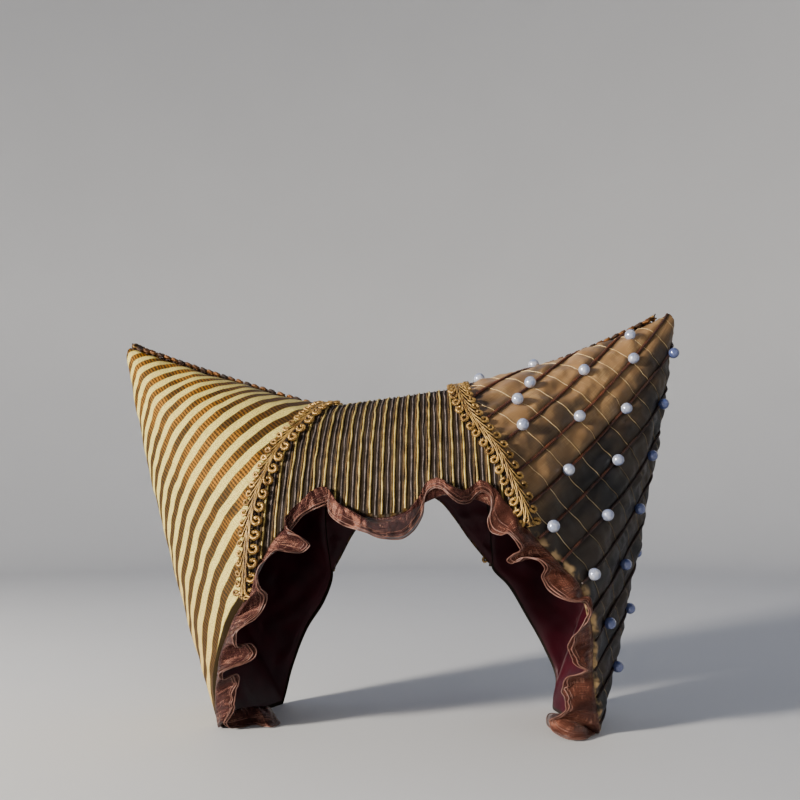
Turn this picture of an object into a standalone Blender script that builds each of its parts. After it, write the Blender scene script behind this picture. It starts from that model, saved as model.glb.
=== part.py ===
"""Horned hennin: two stiffened cloth horns joined over the head by a ribbed band.

The hat faces -Y and stands on its two feet at z = 0. Each horn is a bent cone
whose open rim is one smooth loop. The upper part of the loop is the seam with
the band, and the rest is the free rim that runs down to the foot and back up.
Walls are thin solids with a small gap between neighbours. Units are metres.
"""
import math
from dataclasses import dataclass
from typing import NamedTuple

import bmesh
import bpy
import numpy as np

MM = 0.001


class EdgeRow(NamedTuple):
    """One point of the band's free edge, in millimetres."""

    across: float
    up: float


class SeamRow(NamedTuple):
    """One point of a horn's seam on the band.

    The turn is -1 at the front springing of the arch, 0 on the ridge and 1 at the back.
    """

    turn: float
    across: float


class RimRow(NamedTuple):
    """One point of a horn's free rim, in millimetres."""

    across: float
    deep: float
    up: float


class Braid(NamedTuple):
    """Sizes of a looped braid: half its width, its thickness in the middle and at the edges."""

    half_width: float
    thick: float
    edge: float


def table(row_type, *rows):
    """Rows of a table, each with its named columns."""
    return tuple(row_type(*row) for row in rows)


# Walls and clearances
HORN_WALL = 2.0 * MM
LINING_WALL = 1.0 * MM
LINING_GAP = 0.6 * MM
SEAM_GAP = 0.5 * MM
TRIM_GAP = 1.0 * MM

# The band is an arch over the head: half an ellipse, then straight down
RIDGE_HEIGHT = 224.5 * MM
RIDGE_SLOPE = 0.135
BAND_HALF_DEPTH = 67.0 * MM
BAND_RISE = 105.0 * MM

# Free edges of the band, between its corners on the horns
FRONT_EDGE = table(
    EdgeRow,
    (-79.0, 119.5), (-70.0, 132.0), (-57.0, 144.5), (-45.0, 149.5), (-29.0, 147.0), (-9.0, 141.5),
    (5.0, 144.0), (18.0, 151.5), (30.0, 156.5), (42.0, 156.5), (54.0, 153.0), (66.0, 147.0),
)
BACK_EDGE = table(
    EdgeRow,
    (-51.0, 111.0), (-42.0, 128.0), (-25.0, 149.0), (-5.0, 160.0), (12.0, 161.0),
    (26.0, 155.0), (38.0, 141.0), (48.0, 126.5), (58.0, 114.0),
)

# Seam of each horn on the band
LEFT_SEAM = table(
    SeamRow,
    (-1.10, -92.0), (-0.95, -90.5), (-0.80, -88.5), (-0.63, -82.5), (-0.49, -75.0), (-0.31, -61.5),
    (-0.15, -54.0), (0.00, -49.0), (0.30, -52.0), (0.60, -59.0), (0.85, -62.0), (1.08, -58.0),
)
RIGHT_SEAM = table(
    SeamRow,
    (-0.97, 82.5), (-0.90, 80.0), (-0.78, 72.5), (-0.66, 65.0), (-0.55, 55.5), (-0.42, 46.5),
    (-0.25, 41.5), (0.00, 40.5), (0.30, 43.0), (0.60, 52.0), (0.85, 62.0), (1.15, 67.0),
)

# Free rim of each horn, from the back end of its seam round the foot to the front end
LEFT_RIM = table(
    RimRow,
    (-64.0, 63.0, 77.0), (-76.5, 60.0, 56.5), (-87.0, 54.0, 28.0), (-93.5, 43.0, 0.0),
    (-120.0, -26.0, 0.0), (-118.0, -41.0, 27.0), (-110.0, -54.0, 57.0), (-100.0, -62.0, 78.0),
)
RIGHT_RIM = table(
    RimRow,
    (79.0, 62.0, 90.0), (91.5, 60.0, 69.0), (106.0, 55.0, 42.5), (114.5, 51.0, 20.0), (112.0, 42.0, 0.0),
    (131.0, -24.0, 0.0), (125.0, -42.0, 40.0), (122.0, -54.0, 77.0), (114.5, -61.5, 99.0),
    (98.0, -66.0, 117.0),
)

# Cone of each horn: its tip, and how far the middle of its length bends off straight
LEFT_TIP = (-223.5 * MM, 60.0 * MM, 277.0 * MM)
RIGHT_TIP = (205.1 * MM, 60.0 * MM, 296.8 * MM)
LEFT_BEND = (-9.0 * MM, 10.0 * MM, 1.6 * MM)
RIGHT_BEND = (4.5 * MM, 10.0 * MM, -3.0 * MM)
TIP_SCALE = 0.045
TIP_DOME = 3.0 * MM
LINING_DOME = 1.5 * MM
OUTER_DEPTHS = (1.0, 0.9, 0.78, 0.64, 0.5, 0.36, 0.22, 0.12, 0.05, 0.0)
INNER_DEPTHS = (0.0, 0.1, 0.26, 0.44, 0.62, 0.78, 0.88)
LINING_DEPTHS = (0.0, 0.12, 0.3, 0.5, 0.7, 0.86)
TIP_THINNING = 0.5

# Samples along a horn's seam, along its rim, across the band, from one row of a table to the next,
# and from one sample of the loop to the next in the flat cloth
SEAM_STEPS = 26
RIM_STEPS = 26
BAND_COLUMNS = 12
CURVE_STEPS = 24
FLAT_STEPS = 8

# Small steps that measure a direction on the band: a distance across and a turn
STEP_ACROSS = 0.001 * MM
STEP_TURN = 0.001

# Mesh clean-up
WELD = 0.01 * MM
SHARP_ANGLE = 50.0

# Looped braids: the wide one narrows to a share of its width at its ends and grows back sample by sample
BRAID = Braid(half_width=6.8 * MM, thick=2.4 * MM, edge=1.2 * MM)
BRAID_END_WIDTH = 0.6
BRAID_END_GROWTH = 0.2
SEAM_BRAID = Braid(half_width=3.6 * MM, thick=2.2 * MM, edge=1.2 * MM)
SEAM_BRAID_DEPTHS = (0.10, 0.2, 0.3, 0.4, 0.5, 0.6, 0.7, 0.8, 0.9, 0.97)
CLOSING_TURN = 0.16

# Ruffle along the front edge: it starts clear of it, sunk below the outer face, and ends above the feet
RUFFLE_WIDTH = 15.0 * MM
RUFFLE_THICK = 1.8 * MM
RUFFLE_WAVE = 4.5 * MM
RUFFLE_PITCH = 22.0 * MM
RUFFLE_STEP = 4.4 * MM
RUFFLE_SUNK = 1.6 * MM
RUFFLE_CLEAR = 1.3 * MM
RUFFLE_END_HEIGHT = 16.0 * MM
RUFFLE_FLOOR = 1.5 * MM
RUFFLE_ROWS = (0.0, 0.4, 0.75, 1.0)

# Beads on the quilting of the right horn, on a square lattice in the flat cloth
PEARL_RADIUS = 4.0 * MM
PEARL_LIFT = 0.4 * MM
QUILT_PITCH = 19.2 * MM
GRAIN_ANGLE = 1.805
FIRST_CORD = 41.8 * MM
FIRST_THREAD = 188.5 * MM
CORDS = range(-6, 12)
THREADS = range(-8, 13)
THREADS_PER_PEARL = 4
STRAY_PEARLS = ((0.2, 0.9), (1.4, 7.0))
PEARL_MARGIN = {"rim": 6.5 * MM, "seam": 11.5 * MM, "closing": 8.5 * MM, "tip": 14.0 * MM}

COLOURS = {
    "left_horn": ((0.62, 0.47, 0.24), 0.45),
    "right_horn": ((0.20, 0.13, 0.08), 0.38),
    "crown_band": ((0.16, 0.12, 0.08), 0.60),
    "lining": ((0.05, 0.006, 0.014), 0.35),
    "gimp": ((0.42, 0.27, 0.10), 0.40),
    "ruffle": ((0.12, 0.06, 0.05), 0.40),
    "pearl": ((0.78, 0.78, 0.84), 0.15),
}


@dataclass
class Horn:
    """A bent cone: its open rim as a closed loop, its tip and the directions its cloth faces.

    The side is -1 on the left and 1 on the right. The loop starts with the seam, whose
    places in the band's own coordinates and outward lean are kept beside it.
    """

    side: int
    tip: np.ndarray
    bend: np.ndarray
    seam_domain: np.ndarray
    loop: np.ndarray
    normals: np.ndarray
    seam_lean: np.ndarray


def unit(vectors):
    """Vectors scaled to length one."""
    return vectors / np.linalg.norm(vectors, axis=-1, keepdims=True)


def smooth_line(knots):
    """Smooth curve through the knots, as a dense line of points."""
    knots = np.asarray(knots, dtype=float)
    gaps = np.linalg.norm(np.diff(knots, axis=0), axis=1)
    slopes = np.diff(knots, axis=0) / gaps[:, None]
    tangents = np.empty_like(knots)
    tangents[0], tangents[-1] = slopes[0], slopes[-1]
    before, after = gaps[:-1, None], gaps[1:, None]
    tangents[1:-1] = (slopes[:-1] * after + slopes[1:] * before) / (before + after)
    line = []
    for start in range(len(gaps)):
        for f in np.linspace(0.0, 1.0, CURVE_STEPS, endpoint=False):
            line.append(
                (2 * f**3 - 3 * f**2 + 1) * knots[start]
                + (f**3 - 2 * f**2 + f) * gaps[start] * tangents[start]
                + (3 * f**2 - 2 * f**3) * knots[start + 1]
                + (f**3 - f**2) * gaps[start] * tangents[start + 1]
            )
    line.append(knots[-1])
    return np.array(line)


def evenly(line, count, carried=None):
    """Points that cut the line into equal lengths, with values that ride along it if any are given."""
    lengths = np.concatenate([[0.0], np.cumsum(np.linalg.norm(np.diff(line, axis=0), axis=1))])
    stops = np.linspace(0.0, lengths[-1], count + 1)
    picked = line if carried is None else carried
    return np.stack([np.interp(stops, lengths, picked[:, axis]) for axis in range(picked.shape[1])], axis=1)


def band_point(across, turn):
    """Point of the band's outer face."""
    angle = math.pi / 2 * max(-1.0, min(1.0, turn))
    straight = max(0.0, abs(turn) - 1.0) * BAND_RISE * math.pi / 2
    height = RIDGE_HEIGHT + RIDGE_SLOPE * across - BAND_RISE * (1.0 - math.cos(angle)) - straight
    return np.array((across, BAND_HALF_DEPTH * math.sin(angle), height))


def band_normal(across, turn):
    """Outward direction of the band's outer face."""
    along = band_point(across + STEP_ACROSS, turn) - band_point(across - STEP_ACROSS, turn)
    return unit(np.cross(along, band_slope(across, turn)))


def band_slope(across, turn):
    """Change of the band's point with the turn."""
    return (band_point(across, turn + STEP_TURN) - band_point(across, turn - STEP_TURN)) / (2 * STEP_TURN)


def turn_at(across, height, side):
    """Turn at which the band's front (side -1) or back (side 1) face has this height."""
    drop = RIDGE_HEIGHT + RIDGE_SLOPE * across - height
    if drop <= BAND_RISE:
        return side * math.acos(1.0 - drop / BAND_RISE) / (math.pi / 2)
    return side * (1.0 + (drop - BAND_RISE) / (BAND_RISE * math.pi / 2))


def cone_normals(loop, tip):
    """Outward direction of the straight cone along each generator."""
    tangents = np.roll(loop, -1, axis=0) - np.roll(loop, 1, axis=0)
    normals = unit(np.cross(tangents, tip - loop))
    outward = loop - loop.mean(axis=0)
    return normals if np.sum(normals * outward) > 0 else -normals


def shape_horn(side, seam_table, rim_table, tip, bend):
    """Horn with its loop worked out: the seam on the band first, then the free rim."""
    domain = band_line([(row.across * MM, row.turn) for row in seam_table], SEAM_STEPS)
    seam = np.array([band_point(*spot) for spot in domain])
    rim_knots = [seam[-2], seam[-1], *(np.array(rim_table) * MM), seam[0], seam[1]]
    free = smooth_line(rim_knots)[CURVE_STEPS:-CURVE_STEPS]
    free[:, 2] = np.maximum(free[:, 2], 0.0)
    loop = np.vstack([seam, evenly(free, RIM_STEPS)[1:-1]])
    normals = cone_normals(loop, np.array(tip))
    rails = unit(np.gradient(seam, axis=0))
    lean = normals[: SEAM_STEPS + 1] + np.array([band_normal(*spot) for spot in domain])
    lean -= rails * np.sum(lean * rails, axis=1, keepdims=True)
    return Horn(side, np.array(tip), np.array(bend), domain, loop, normals, unit(lean))


def band_line(spots, count):
    """Smooth line on the band through spots of its own coordinates, cut into equal lengths."""
    domain = smooth_line([(across, turn * BAND_RISE) for across, turn in spots])
    domain[:, 1] /= BAND_RISE
    return evenly(np.array([band_point(*spot) for spot in domain]), count, domain)


def ring(horn, depth, sunk):
    """Ring of points at a depth from 0 on the rim to 1 at the tip, sunk below the outer face."""
    taper = 1.0 - depth * (1.0 - TIP_SCALE)
    bend = 4.0 * depth * (1.0 - depth) * horn.bend
    inward = horn.normals.copy()
    if depth == 0.0:
        inward[: SEAM_STEPS + 1] = horn.seam_lean
    points = horn.tip + (horn.loop - horn.tip) * taper + bend
    points -= inward * sunk * (1.0 - TIP_THINNING * depth**2)
    if depth == 0.0:
        points[horn.loop[:, 2] == 0.0, 2] = 0.0
    points[:, 2] = np.maximum(points[:, 2], 0.0)
    return points


def horn_point(horn, place, depth):
    """Point and outward direction on the horn's outer face, at a fractional index round its loop."""
    first = int(math.floor(place)) % len(horn.loop)
    share = place - math.floor(place)
    points = ring(horn, depth, 0.0)
    after = (first + 1) % len(horn.loop)
    spot = points[first] * (1.0 - share) + points[after] * share
    return spot, unit(horn.normals[first] * (1.0 - share) + horn.normals[after] * share)


def finish(mesh_name, bm, finish_name, location=(0.0, 0.0, 0.0)):
    """Object made from the mesh, with its faces turned out and its own material."""
    bmesh.ops.remove_doubles(bm, verts=bm.verts, dist=WELD)
    bmesh.ops.recalc_face_normals(bm, faces=bm.faces)
    mesh = bpy.data.meshes.new(mesh_name)
    bm.to_mesh(mesh)
    bm.free()
    mesh.shade_smooth()
    mesh.set_sharp_from_angle(angle=math.radians(SHARP_ANGLE))
    mesh.materials.append(material(mesh_name, finish_name))
    return place_object(mesh_name, mesh, location)


def place_object(name, mesh, location):
    """Object in the hat's collection, held by the hat's empty."""
    part = bpy.data.objects.new(name, mesh)
    part.location = location
    part.parent = bpy.data.objects["hennin_axes"]
    bpy.data.collections["horned_hennin"].objects.link(part)
    return part


def material(name, finish_name):
    """Material with the colour and roughness of a finish."""
    colour, roughness = COLOURS[finish_name]
    made = bpy.data.materials.new(name)
    made.use_nodes = True
    shader = made.node_tree.nodes["Principled BSDF"]
    shader.inputs["Base Color"].default_value = (*colour, 1.0)
    shader.inputs["Roughness"].default_value = roughness
    shader.inputs["Metallic"].default_value = 0.0
    return made


def cone_solid(name, rings, poles, finish_name):
    """Closed body lofted through rings that run from the tip down the outside and back up the inside."""
    bm = bmesh.new()
    rows = [[bm.verts.new(point) for point in points] for points in rings]
    count = len(rows[0])
    for upper, lower in zip(rows, rows[1:]):
        for i in range(count):
            j = (i + 1) % count
            bm.faces.new((upper[i], upper[j], lower[j], lower[i]))
    for row, pole in ((rows[0], poles[0]), (rows[-1], poles[1])):
        centre = bm.verts.new(pole)
        for i in range(count):
            bm.faces.new((row[i], row[(i + 1) % count], centre))
    return finish(name, bm, finish_name)


def wall_solid(name, outer, inner, finish_name):
    """Closed body between two grids of points of the same size."""
    bm = bmesh.new()
    sheets = [[[bm.verts.new(point) for point in row] for row in grid] for grid in (outer, inner)]
    rows, columns = len(outer), len(outer[0])
    for sheet in sheets:
        for r in range(rows - 1):
            for c in range(columns - 1):
                bm.faces.new((sheet[r][c], sheet[r][c + 1], sheet[r + 1][c + 1], sheet[r + 1][c]))
    border = [(0, c) for c in range(columns)] + [(r, columns - 1) for r in range(1, rows)]
    border += [(rows - 1, c) for c in range(columns - 2, -1, -1)] + [(r, 0) for r in range(rows - 2, 0, -1)]
    for (r, c), (s, d) in zip(border, border[1:] + border[:1]):
        bm.faces.new((sheets[0][r][c], sheets[0][s][d], sheets[1][s][d], sheets[1][r][c]))
    return finish(name, bm, finish_name)


def domed_poles(horn, rings, height):
    """Outer and inner pole of the blunt tip, a little past the first and last ring."""
    dome = unit(horn.tip - horn.loop.mean(axis=0)) * height
    return rings[0].mean(axis=0) + dome, rings[-1].mean(axis=0) + dome


def make_horn(name, horn):
    """Stiff cloth cone, hollow and open at its rim."""
    rings = [ring(horn, depth, 0.0) for depth in OUTER_DEPTHS]
    rings += [ring(horn, depth, HORN_WALL) for depth in INNER_DEPTHS]
    return cone_solid(name, rings, domed_poles(horn, rings, TIP_DOME), name)


def make_horn_lining(name, horn):
    """Thin skin inside a horn."""
    near, far = HORN_WALL + LINING_GAP, HORN_WALL + LINING_GAP + LINING_WALL
    rings = [ring(horn, depth, near) for depth in reversed(LINING_DEPTHS)]
    rings += [ring(horn, depth, far) for depth in LINING_DEPTHS[:-1]]
    return cone_solid(name, rings, domed_poles(horn, rings, LINING_DOME), "lining")


def band_edge(rows, side, corners):
    """Free edge of the band from the left corner to the right, in the band's own coordinates."""
    spots = [(row.across * MM, turn_at(row.across * MM, row.up * MM, side)) for row in rows]
    return band_line([corners[0], *spots, corners[1]], BAND_COLUMNS)


def band_grid(left, right):
    """Band's own coordinates on a grid of columns between the seams, blended from its four edges."""
    west, east = left.seam_domain, right.seam_domain
    south = band_edge(FRONT_EDGE, -1, (west[0], east[0]))
    north = band_edge(BACK_EDGE, 1, (west[-1], east[-1]))
    grid = []
    for c in range(BAND_COLUMNS + 1):
        u = c / BAND_COLUMNS
        column = []
        for r in range(SEAM_STEPS + 1):
            v = r / SEAM_STEPS
            ruled = (1 - u) * west[r] + u * east[r] + (1 - v) * south[c] + v * north[c]
            corners = (1 - v) * ((1 - u) * west[0] + u * east[0]) + v * ((1 - u) * west[-1] + u * east[-1])
            column.append(ruled - corners)
        grid.append(column)
    return np.array(grid)


def band_shell(grid, left, right, sunk):
    """Grid of points at one depth below the band's outer face, held off the seams by their gap."""
    points = np.array([[band_point(*spot) for spot in column] for column in grid])
    normals = np.array([[band_normal(*spot) for spot in column] for column in grid])
    for column, horn in ((0, left), (-1, right)):
        rails = unit(np.gradient(points[column], axis=0))
        normals[column] = horn.seam_lean
        aside = unit(np.cross(rails, horn.seam_lean))
        if np.sum(aside[:, 0]) * horn.side > 0:
            aside = -aside
        points[column] += aside * SEAM_GAP
    return points - normals * sunk


def make_band(name, grid, left, right, near, far, finish_name):
    """Saddle of cloth over the head."""
    outer, inner = (band_shell(grid, left, right, sunk) for sunk in (near, far))
    return wall_solid(name, outer, inner, finish_name)


def braid_profile(sizes):
    """Places across a braid and the thickness at each."""
    half = sizes.half_width
    middle = (sizes.thick + sizes.edge) / 2
    right_half = ((half / 2, middle), (half, sizes.edge))
    return (*((-place, thick) for place, thick in reversed(right_half)), (0.0, sizes.thick), *right_half)


def step_off_seam(horn, index, distance):
    """Spot and outward direction beside the seam: on the horn at a positive distance, else on the band."""
    seam = horn.loop[: SEAM_STEPS + 1]
    rail = unit(np.gradient(seam, axis=0))[index]
    if distance == 0.0:
        return seam[index], horn.seam_lean[index]
    if distance > 0.0:
        generator = horn.tip - horn.loop[index]
        reach = np.linalg.norm(np.cross(rail, generator))
        depth = distance / reach / (1.0 - TIP_SCALE)
        back = np.dot(rail, generator) * depth / np.linalg.norm(horn.loop[index + 1] - horn.loop[index])
        return horn_point(horn, index - back, depth)
    across, turn = horn.seam_domain[index]
    normal = band_normal(across, turn)
    aside = unit(np.cross(rail, normal))
    if aside[0] * horn.side > 0:
        aside = -aside
    over = band_slope(across, turn)
    spot = (across - distance * aside[0], turn - distance * np.dot(aside, over) / np.dot(over, over))
    return band_point(*spot), band_normal(*spot)


def make_braid(name, horn):
    """Wide looped braid over the seam between a horn and the band."""
    lower, upper = [], []
    for index in range(SEAM_STEPS + 1):
        from_end = min(index, SEAM_STEPS - index)
        width = min(1.0, BRAID_END_WIDTH + BRAID_END_GROWTH * from_end)
        feet = [(step_off_seam(horn, index, distance * width), thick)
                for distance, thick in braid_profile(BRAID)]
        lower.append([spot + out * TRIM_GAP for (spot, out), _ in feet])
        upper.append([spot + out * (TRIM_GAP + thick) for (spot, out), thick in feet])
    return wall_solid(name, upper, lower, "gimp")


def closing_place(horn):
    """Fractional index of the generator where the cone's cloth closes, just behind the ridge."""
    return float(np.interp(CLOSING_TURN, horn.seam_domain[:, 1], np.arange(SEAM_STEPS + 1)))


def make_seam_braid(name, horn):
    """Narrow looped braid over the closing seam, from near the band to the tip."""
    place = closing_place(horn)
    lower, upper = [], []
    for depth in SEAM_BRAID_DEPTHS:
        before, after = (horn_point(horn, place + half, depth)[0] for half in (-0.5, 0.5))
        spacing = np.linalg.norm(after - before)
        feet = [(horn_point(horn, place + distance / spacing, depth), thick)
                for distance, thick in braid_profile(SEAM_BRAID)]
        lower.append([spot + out * TRIM_GAP for (spot, out), _ in feet])
        upper.append([spot + out * (TRIM_GAP + thick) for (spot, out), thick in feet])
    return wall_solid(name, upper, lower, "gimp")


def front_path(left, right, grid):
    """Front edge of the hat from foot to foot: points, outward directions and directions off the edge."""
    stations = []
    for horn, order in ((left, range(RIM_STEPS - 1)), (right, range(RIM_STEPS - 2, -1, -1))):
        side = []
        for step in order:
            index = SEAM_STEPS + 1 + step
            spot = horn.loop[index]
            if spot[1] > 0.0 or spot[2] < RUFFLE_END_HEIGHT:
                continue
            side.append((spot, horn.normals[index], spot - horn.tip))
        stations.append(side)
    edge = []
    for across, turn in grid[:, 0]:
        edge.append((band_point(across, turn), band_normal(across, turn), -band_slope(across, turn)))
    return stations[0] + edge + stations[1]


def make_ruffle(name, left, right, grid):
    """Outer form of the gathered ribbon: a waving wall that stands off the front edge."""
    path = front_path(left, right, grid)
    line = np.array([spot for spot, _, _ in path])
    marks = np.array([np.concatenate([spot, out, unit(off)]) for spot, out, off in path])
    length = np.sum(np.linalg.norm(np.diff(line, axis=0), axis=1))
    count = int(length / RUFFLE_STEP)
    stations = evenly(line, count, marks)
    rails = unit(np.gradient(stations[:, :3], axis=0))
    outer, inner = [], []
    for index, station in enumerate(stations):
        spot, out = station[:3], unit(station[3:6])
        off = station[6:9] - rails[index] * np.dot(station[6:9], rails[index])
        off = unit(off - out * np.dot(off, out))
        phase = 2 * math.pi * index * length / count / RUFFLE_PITCH
        middle = np.array([
            spot + off * (RUFFLE_CLEAR + RUFFLE_WIDTH * share)
            + out * (RUFFLE_WAVE * share * math.sin(phase) - RUFFLE_SUNK)
            for share in RUFFLE_ROWS
        ])
        for sheet, lift in ((outer, RUFFLE_THICK / 2), (inner, -RUFFLE_THICK / 2)):
            points = middle + out * lift
            points[:, 2] = np.maximum(points[:, 2], RUFFLE_FLOOR)
            sheet.append(points)
    return wall_solid(name, outer, inner, "ruffle")


def unrolled(horn):
    """Cone cut at its closing seam and laid flat: loop places, fan angles and slant lengths."""
    places = closing_place(horn) + np.linspace(0.0, len(horn.loop), len(horn.loop) * FLAT_STEPS + 1)
    rims = np.array([horn_point(horn, place, 0.0)[0] for place in places])
    slants = np.linalg.norm(rims - horn.tip, axis=1)
    rays = (rims - horn.tip) / slants[:, None]
    fan = np.concatenate([[0.0], np.cumsum(np.linalg.norm(np.diff(rays, axis=0), axis=1))])
    return places, fan, slants


def quilt_spot(flat, along, across):
    """Loop place and depth of a spot of the flat cloth, or None where the cone has no cloth there."""
    places, fan, slants = flat
    radius = math.hypot(along, across)
    angle = GRAIN_ANGLE + math.atan2(across, along)
    if not fan[0] < angle < fan[-1]:
        return None
    slant = float(np.interp(angle, fan, slants))
    clear = min(angle - fan[0], fan[-1] - angle) * radius
    margin = PEARL_MARGIN["rim"]
    if radius > slant - margin or radius < PEARL_MARGIN["tip"] or clear < PEARL_MARGIN["closing"]:
        return None
    return float(np.interp(angle, fan, places)), (1.0 - radius / slant) / (1.0 - TIP_SCALE)


def pearl_places():
    """Cord and thread of each bead: every fourth thread of a cord, staggered, then the strays."""
    first = (THREADS_PER_PEARL // 2, 0)
    crossings = [(cord, thread) for cord in CORDS for thread in THREADS
                 if thread % THREADS_PER_PEARL == first[cord % 2]]
    return (*crossings, *STRAY_PEARLS)


def make_pearls(horn):
    """Beads sewn on the crossings of cords and threads that have clear cloth round them."""
    flat = unrolled(horn)
    sphere = bmesh.new()
    bmesh.ops.create_icosphere(sphere, subdivisions=2, radius=PEARL_RADIUS)
    mesh = bpy.data.meshes.new("pearl")
    sphere.to_mesh(mesh)
    sphere.free()
    mesh.shade_smooth()
    mesh.materials.append(material("pearl", "pearl"))
    made = []
    for cord, thread in pearl_places():
        spot = quilt_spot(flat, FIRST_THREAD - thread * QUILT_PITCH, FIRST_CORD - cord * QUILT_PITCH)
        if spot is None:
            continue
        base, out = horn_point(horn, *spot)
        to_seam = np.linalg.norm(horn.loop[: SEAM_STEPS + 1] - base, axis=1)
        if to_seam.min() < PEARL_MARGIN["seam"]:
            continue
        centre = base + out * (PEARL_RADIUS + PEARL_LIFT)
        made.append(place_object(f"pearl_{len(made) + 1:02d}", mesh, centre))
    return made


def stand_on_origin(axes):
    """Moves the hat level so that the middle of its box stands over the origin."""
    corners = np.array([
        np.array(vertex.co) + np.array(piece.location)
        for piece in axes.children
        for vertex in piece.data.vertices
    ])
    middle = (corners.min(axis=0) + corners.max(axis=0)) / 2
    axes.location = (-middle[0], -middle[1], 0.0)


def main():
    """Builds the whole hat."""
    for old in list(bpy.data.objects):
        bpy.data.objects.remove(old, do_unlink=True)
    collection = bpy.data.collections.new("horned_hennin")
    bpy.context.scene.collection.children.link(collection)
    axes = bpy.data.objects.new("hennin_axes", None)
    collection.objects.link(axes)

    left = shape_horn(-1, LEFT_SEAM, LEFT_RIM, LEFT_TIP, LEFT_BEND)
    right = shape_horn(1, RIGHT_SEAM, RIGHT_RIM, RIGHT_TIP, RIGHT_BEND)
    grid = band_grid(left, right)

    make_horn("left_horn", left)
    make_horn("right_horn", right)
    make_horn_lining("lining_left", left)
    make_horn_lining("lining_right", right)
    make_band("crown_band", grid, left, right, 0.0, HORN_WALL, "crown_band")
    near = HORN_WALL + LINING_GAP
    make_band("lining_band", grid, left, right, near, near + LINING_WALL, "lining")
    make_braid("gimp_braid_left", left)
    make_braid("gimp_braid_right", right)
    make_seam_braid("gimp_seam_left", left)
    make_seam_braid("gimp_seam_right", right)
    make_ruffle("ruffle", left, right, grid)
    make_pearls(right)
    stand_on_origin(axes)
    bpy.context.view_layer.update()


main()
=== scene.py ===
"""Horned hennin: a striped and a quilted cloth horn joined over the head by a ribbed band.

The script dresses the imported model. Tables are in millimetres in the hat's own axes,
and ORIGIN is where those axes stand in the model. Everything else is in metres.
"""
import logging
import math
from collections.abc import Callable
from dataclasses import dataclass
from enum import Enum
from typing import NamedTuple

import bmesh
import bpy
import numpy as np
from bmesh.types import BMesh
from bpy.types import ID, Material, Mesh, Node, NodeSocket, NodeTree, Object
from numpy import ndarray as Array
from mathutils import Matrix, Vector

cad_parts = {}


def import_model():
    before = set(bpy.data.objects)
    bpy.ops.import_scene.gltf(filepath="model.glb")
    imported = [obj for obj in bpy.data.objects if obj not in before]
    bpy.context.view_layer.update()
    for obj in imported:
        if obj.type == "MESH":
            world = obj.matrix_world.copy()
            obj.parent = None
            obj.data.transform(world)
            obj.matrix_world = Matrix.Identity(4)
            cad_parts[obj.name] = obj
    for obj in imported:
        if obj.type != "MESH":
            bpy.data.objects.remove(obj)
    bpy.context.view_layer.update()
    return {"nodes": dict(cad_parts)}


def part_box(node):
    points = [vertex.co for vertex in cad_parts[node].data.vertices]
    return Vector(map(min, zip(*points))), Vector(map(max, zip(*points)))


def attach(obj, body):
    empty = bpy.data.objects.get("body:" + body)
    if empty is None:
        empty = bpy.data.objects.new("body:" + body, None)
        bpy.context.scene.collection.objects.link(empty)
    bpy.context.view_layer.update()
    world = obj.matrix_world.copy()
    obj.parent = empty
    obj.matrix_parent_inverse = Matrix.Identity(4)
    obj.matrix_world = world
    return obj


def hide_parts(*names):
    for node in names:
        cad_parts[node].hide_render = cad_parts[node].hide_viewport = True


log = logging.getLogger("hennin")

MM = 0.001
TURN = 2 * math.pi
ORIGIN = np.array((8.0845, -1.7398, 0.0)) * MM
BODY = "root"


class EdgeRow(NamedTuple):
    """One point of the band's free edge, in millimetres."""

    across: float
    up: float


class SeamRow(NamedTuple):
    """One point of a horn's seam on the band: turn is -1 in front, 0 on the ridge and 1 behind."""

    turn: float
    across: float


class SpotRow(NamedTuple):
    """One point in the hat's own axes, in millimetres."""

    across: float
    deep: float
    up: float


class RuffleRow(NamedTuple):
    """Where the ribbon's hem and its fold are, for a distance along the hat's front edge."""

    along: float
    hem_across: float
    hem_deep: float
    hem_up: float
    fold_across: float
    fold_deep: float
    fold_up: float


def table(row_type: type, *rows: tuple) -> tuple:
    """Rows of a table, each with its named columns."""
    return tuple(row_type(*row) for row in rows)


FRONT_EDGE = table(
    EdgeRow,
    (-79, 119.5), (-70, 132), (-57, 144.5), (-45, 149.5), (-29, 147), (-9, 141.5), (5, 144), (18, 151.5),
    (30, 156.5), (42, 156.5), (54, 153), (66, 147),
)
BACK_EDGE = table(
    EdgeRow,
    (-51, 111), (-42, 128), (-25, 149), (-5, 160), (12, 161), (26, 155), (38, 141), (48, 126.5),
    (58, 114),
)
LEFT_SEAM = table(
    SeamRow,
    (-1.10, -92), (-0.95, -90.5), (-0.80, -88.5), (-0.63, -82.5), (-0.49, -75), (-0.31, -61.5),
    (-0.15, -54), (0.00, -49), (0.30, -52), (0.60, -59), (0.85, -62), (1.08, -58),
)
RIGHT_SEAM = table(
    SeamRow,
    (-0.97, 82.5), (-0.90, 80), (-0.78, 72.5), (-0.66, 65), (-0.55, 55.5), (-0.42, 46.5), (-0.25, 41.5),
    (0.00, 40.5), (0.30, 43), (0.60, 52), (0.85, 62), (1.15, 67),
)
LEFT_RIM = table(
    SpotRow,
    (-64, 63, 77), (-76.5, 60, 56.5), (-87, 54, 28), (-93.5, 43, 0), (-120, -26, 0), (-118, -41, 27),
    (-110, -54, 57), (-100, -62, 78),
)
RIGHT_RIM = table(
    SpotRow,
    (79, 62, 90), (91.5, 60, 69), (106, 55, 42.5), (114.5, 51, 20), (112, 42, 0), (131, -24, 0),
    (125, -42, 40), (122, -54, 77), (114.5, -61.5, 99), (98, -66, 117),
)

# Samples of a horn's seam and rim in the solid model, and how many finer steps each is cut into here
SEAM_STEPS = 26
RIM_STEPS = 26
LOOP_STEPS = SEAM_STEPS + RIM_STEPS
FINE = 8
CURVE_STEPS = 24
FLAT_STEPS = 8
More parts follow.
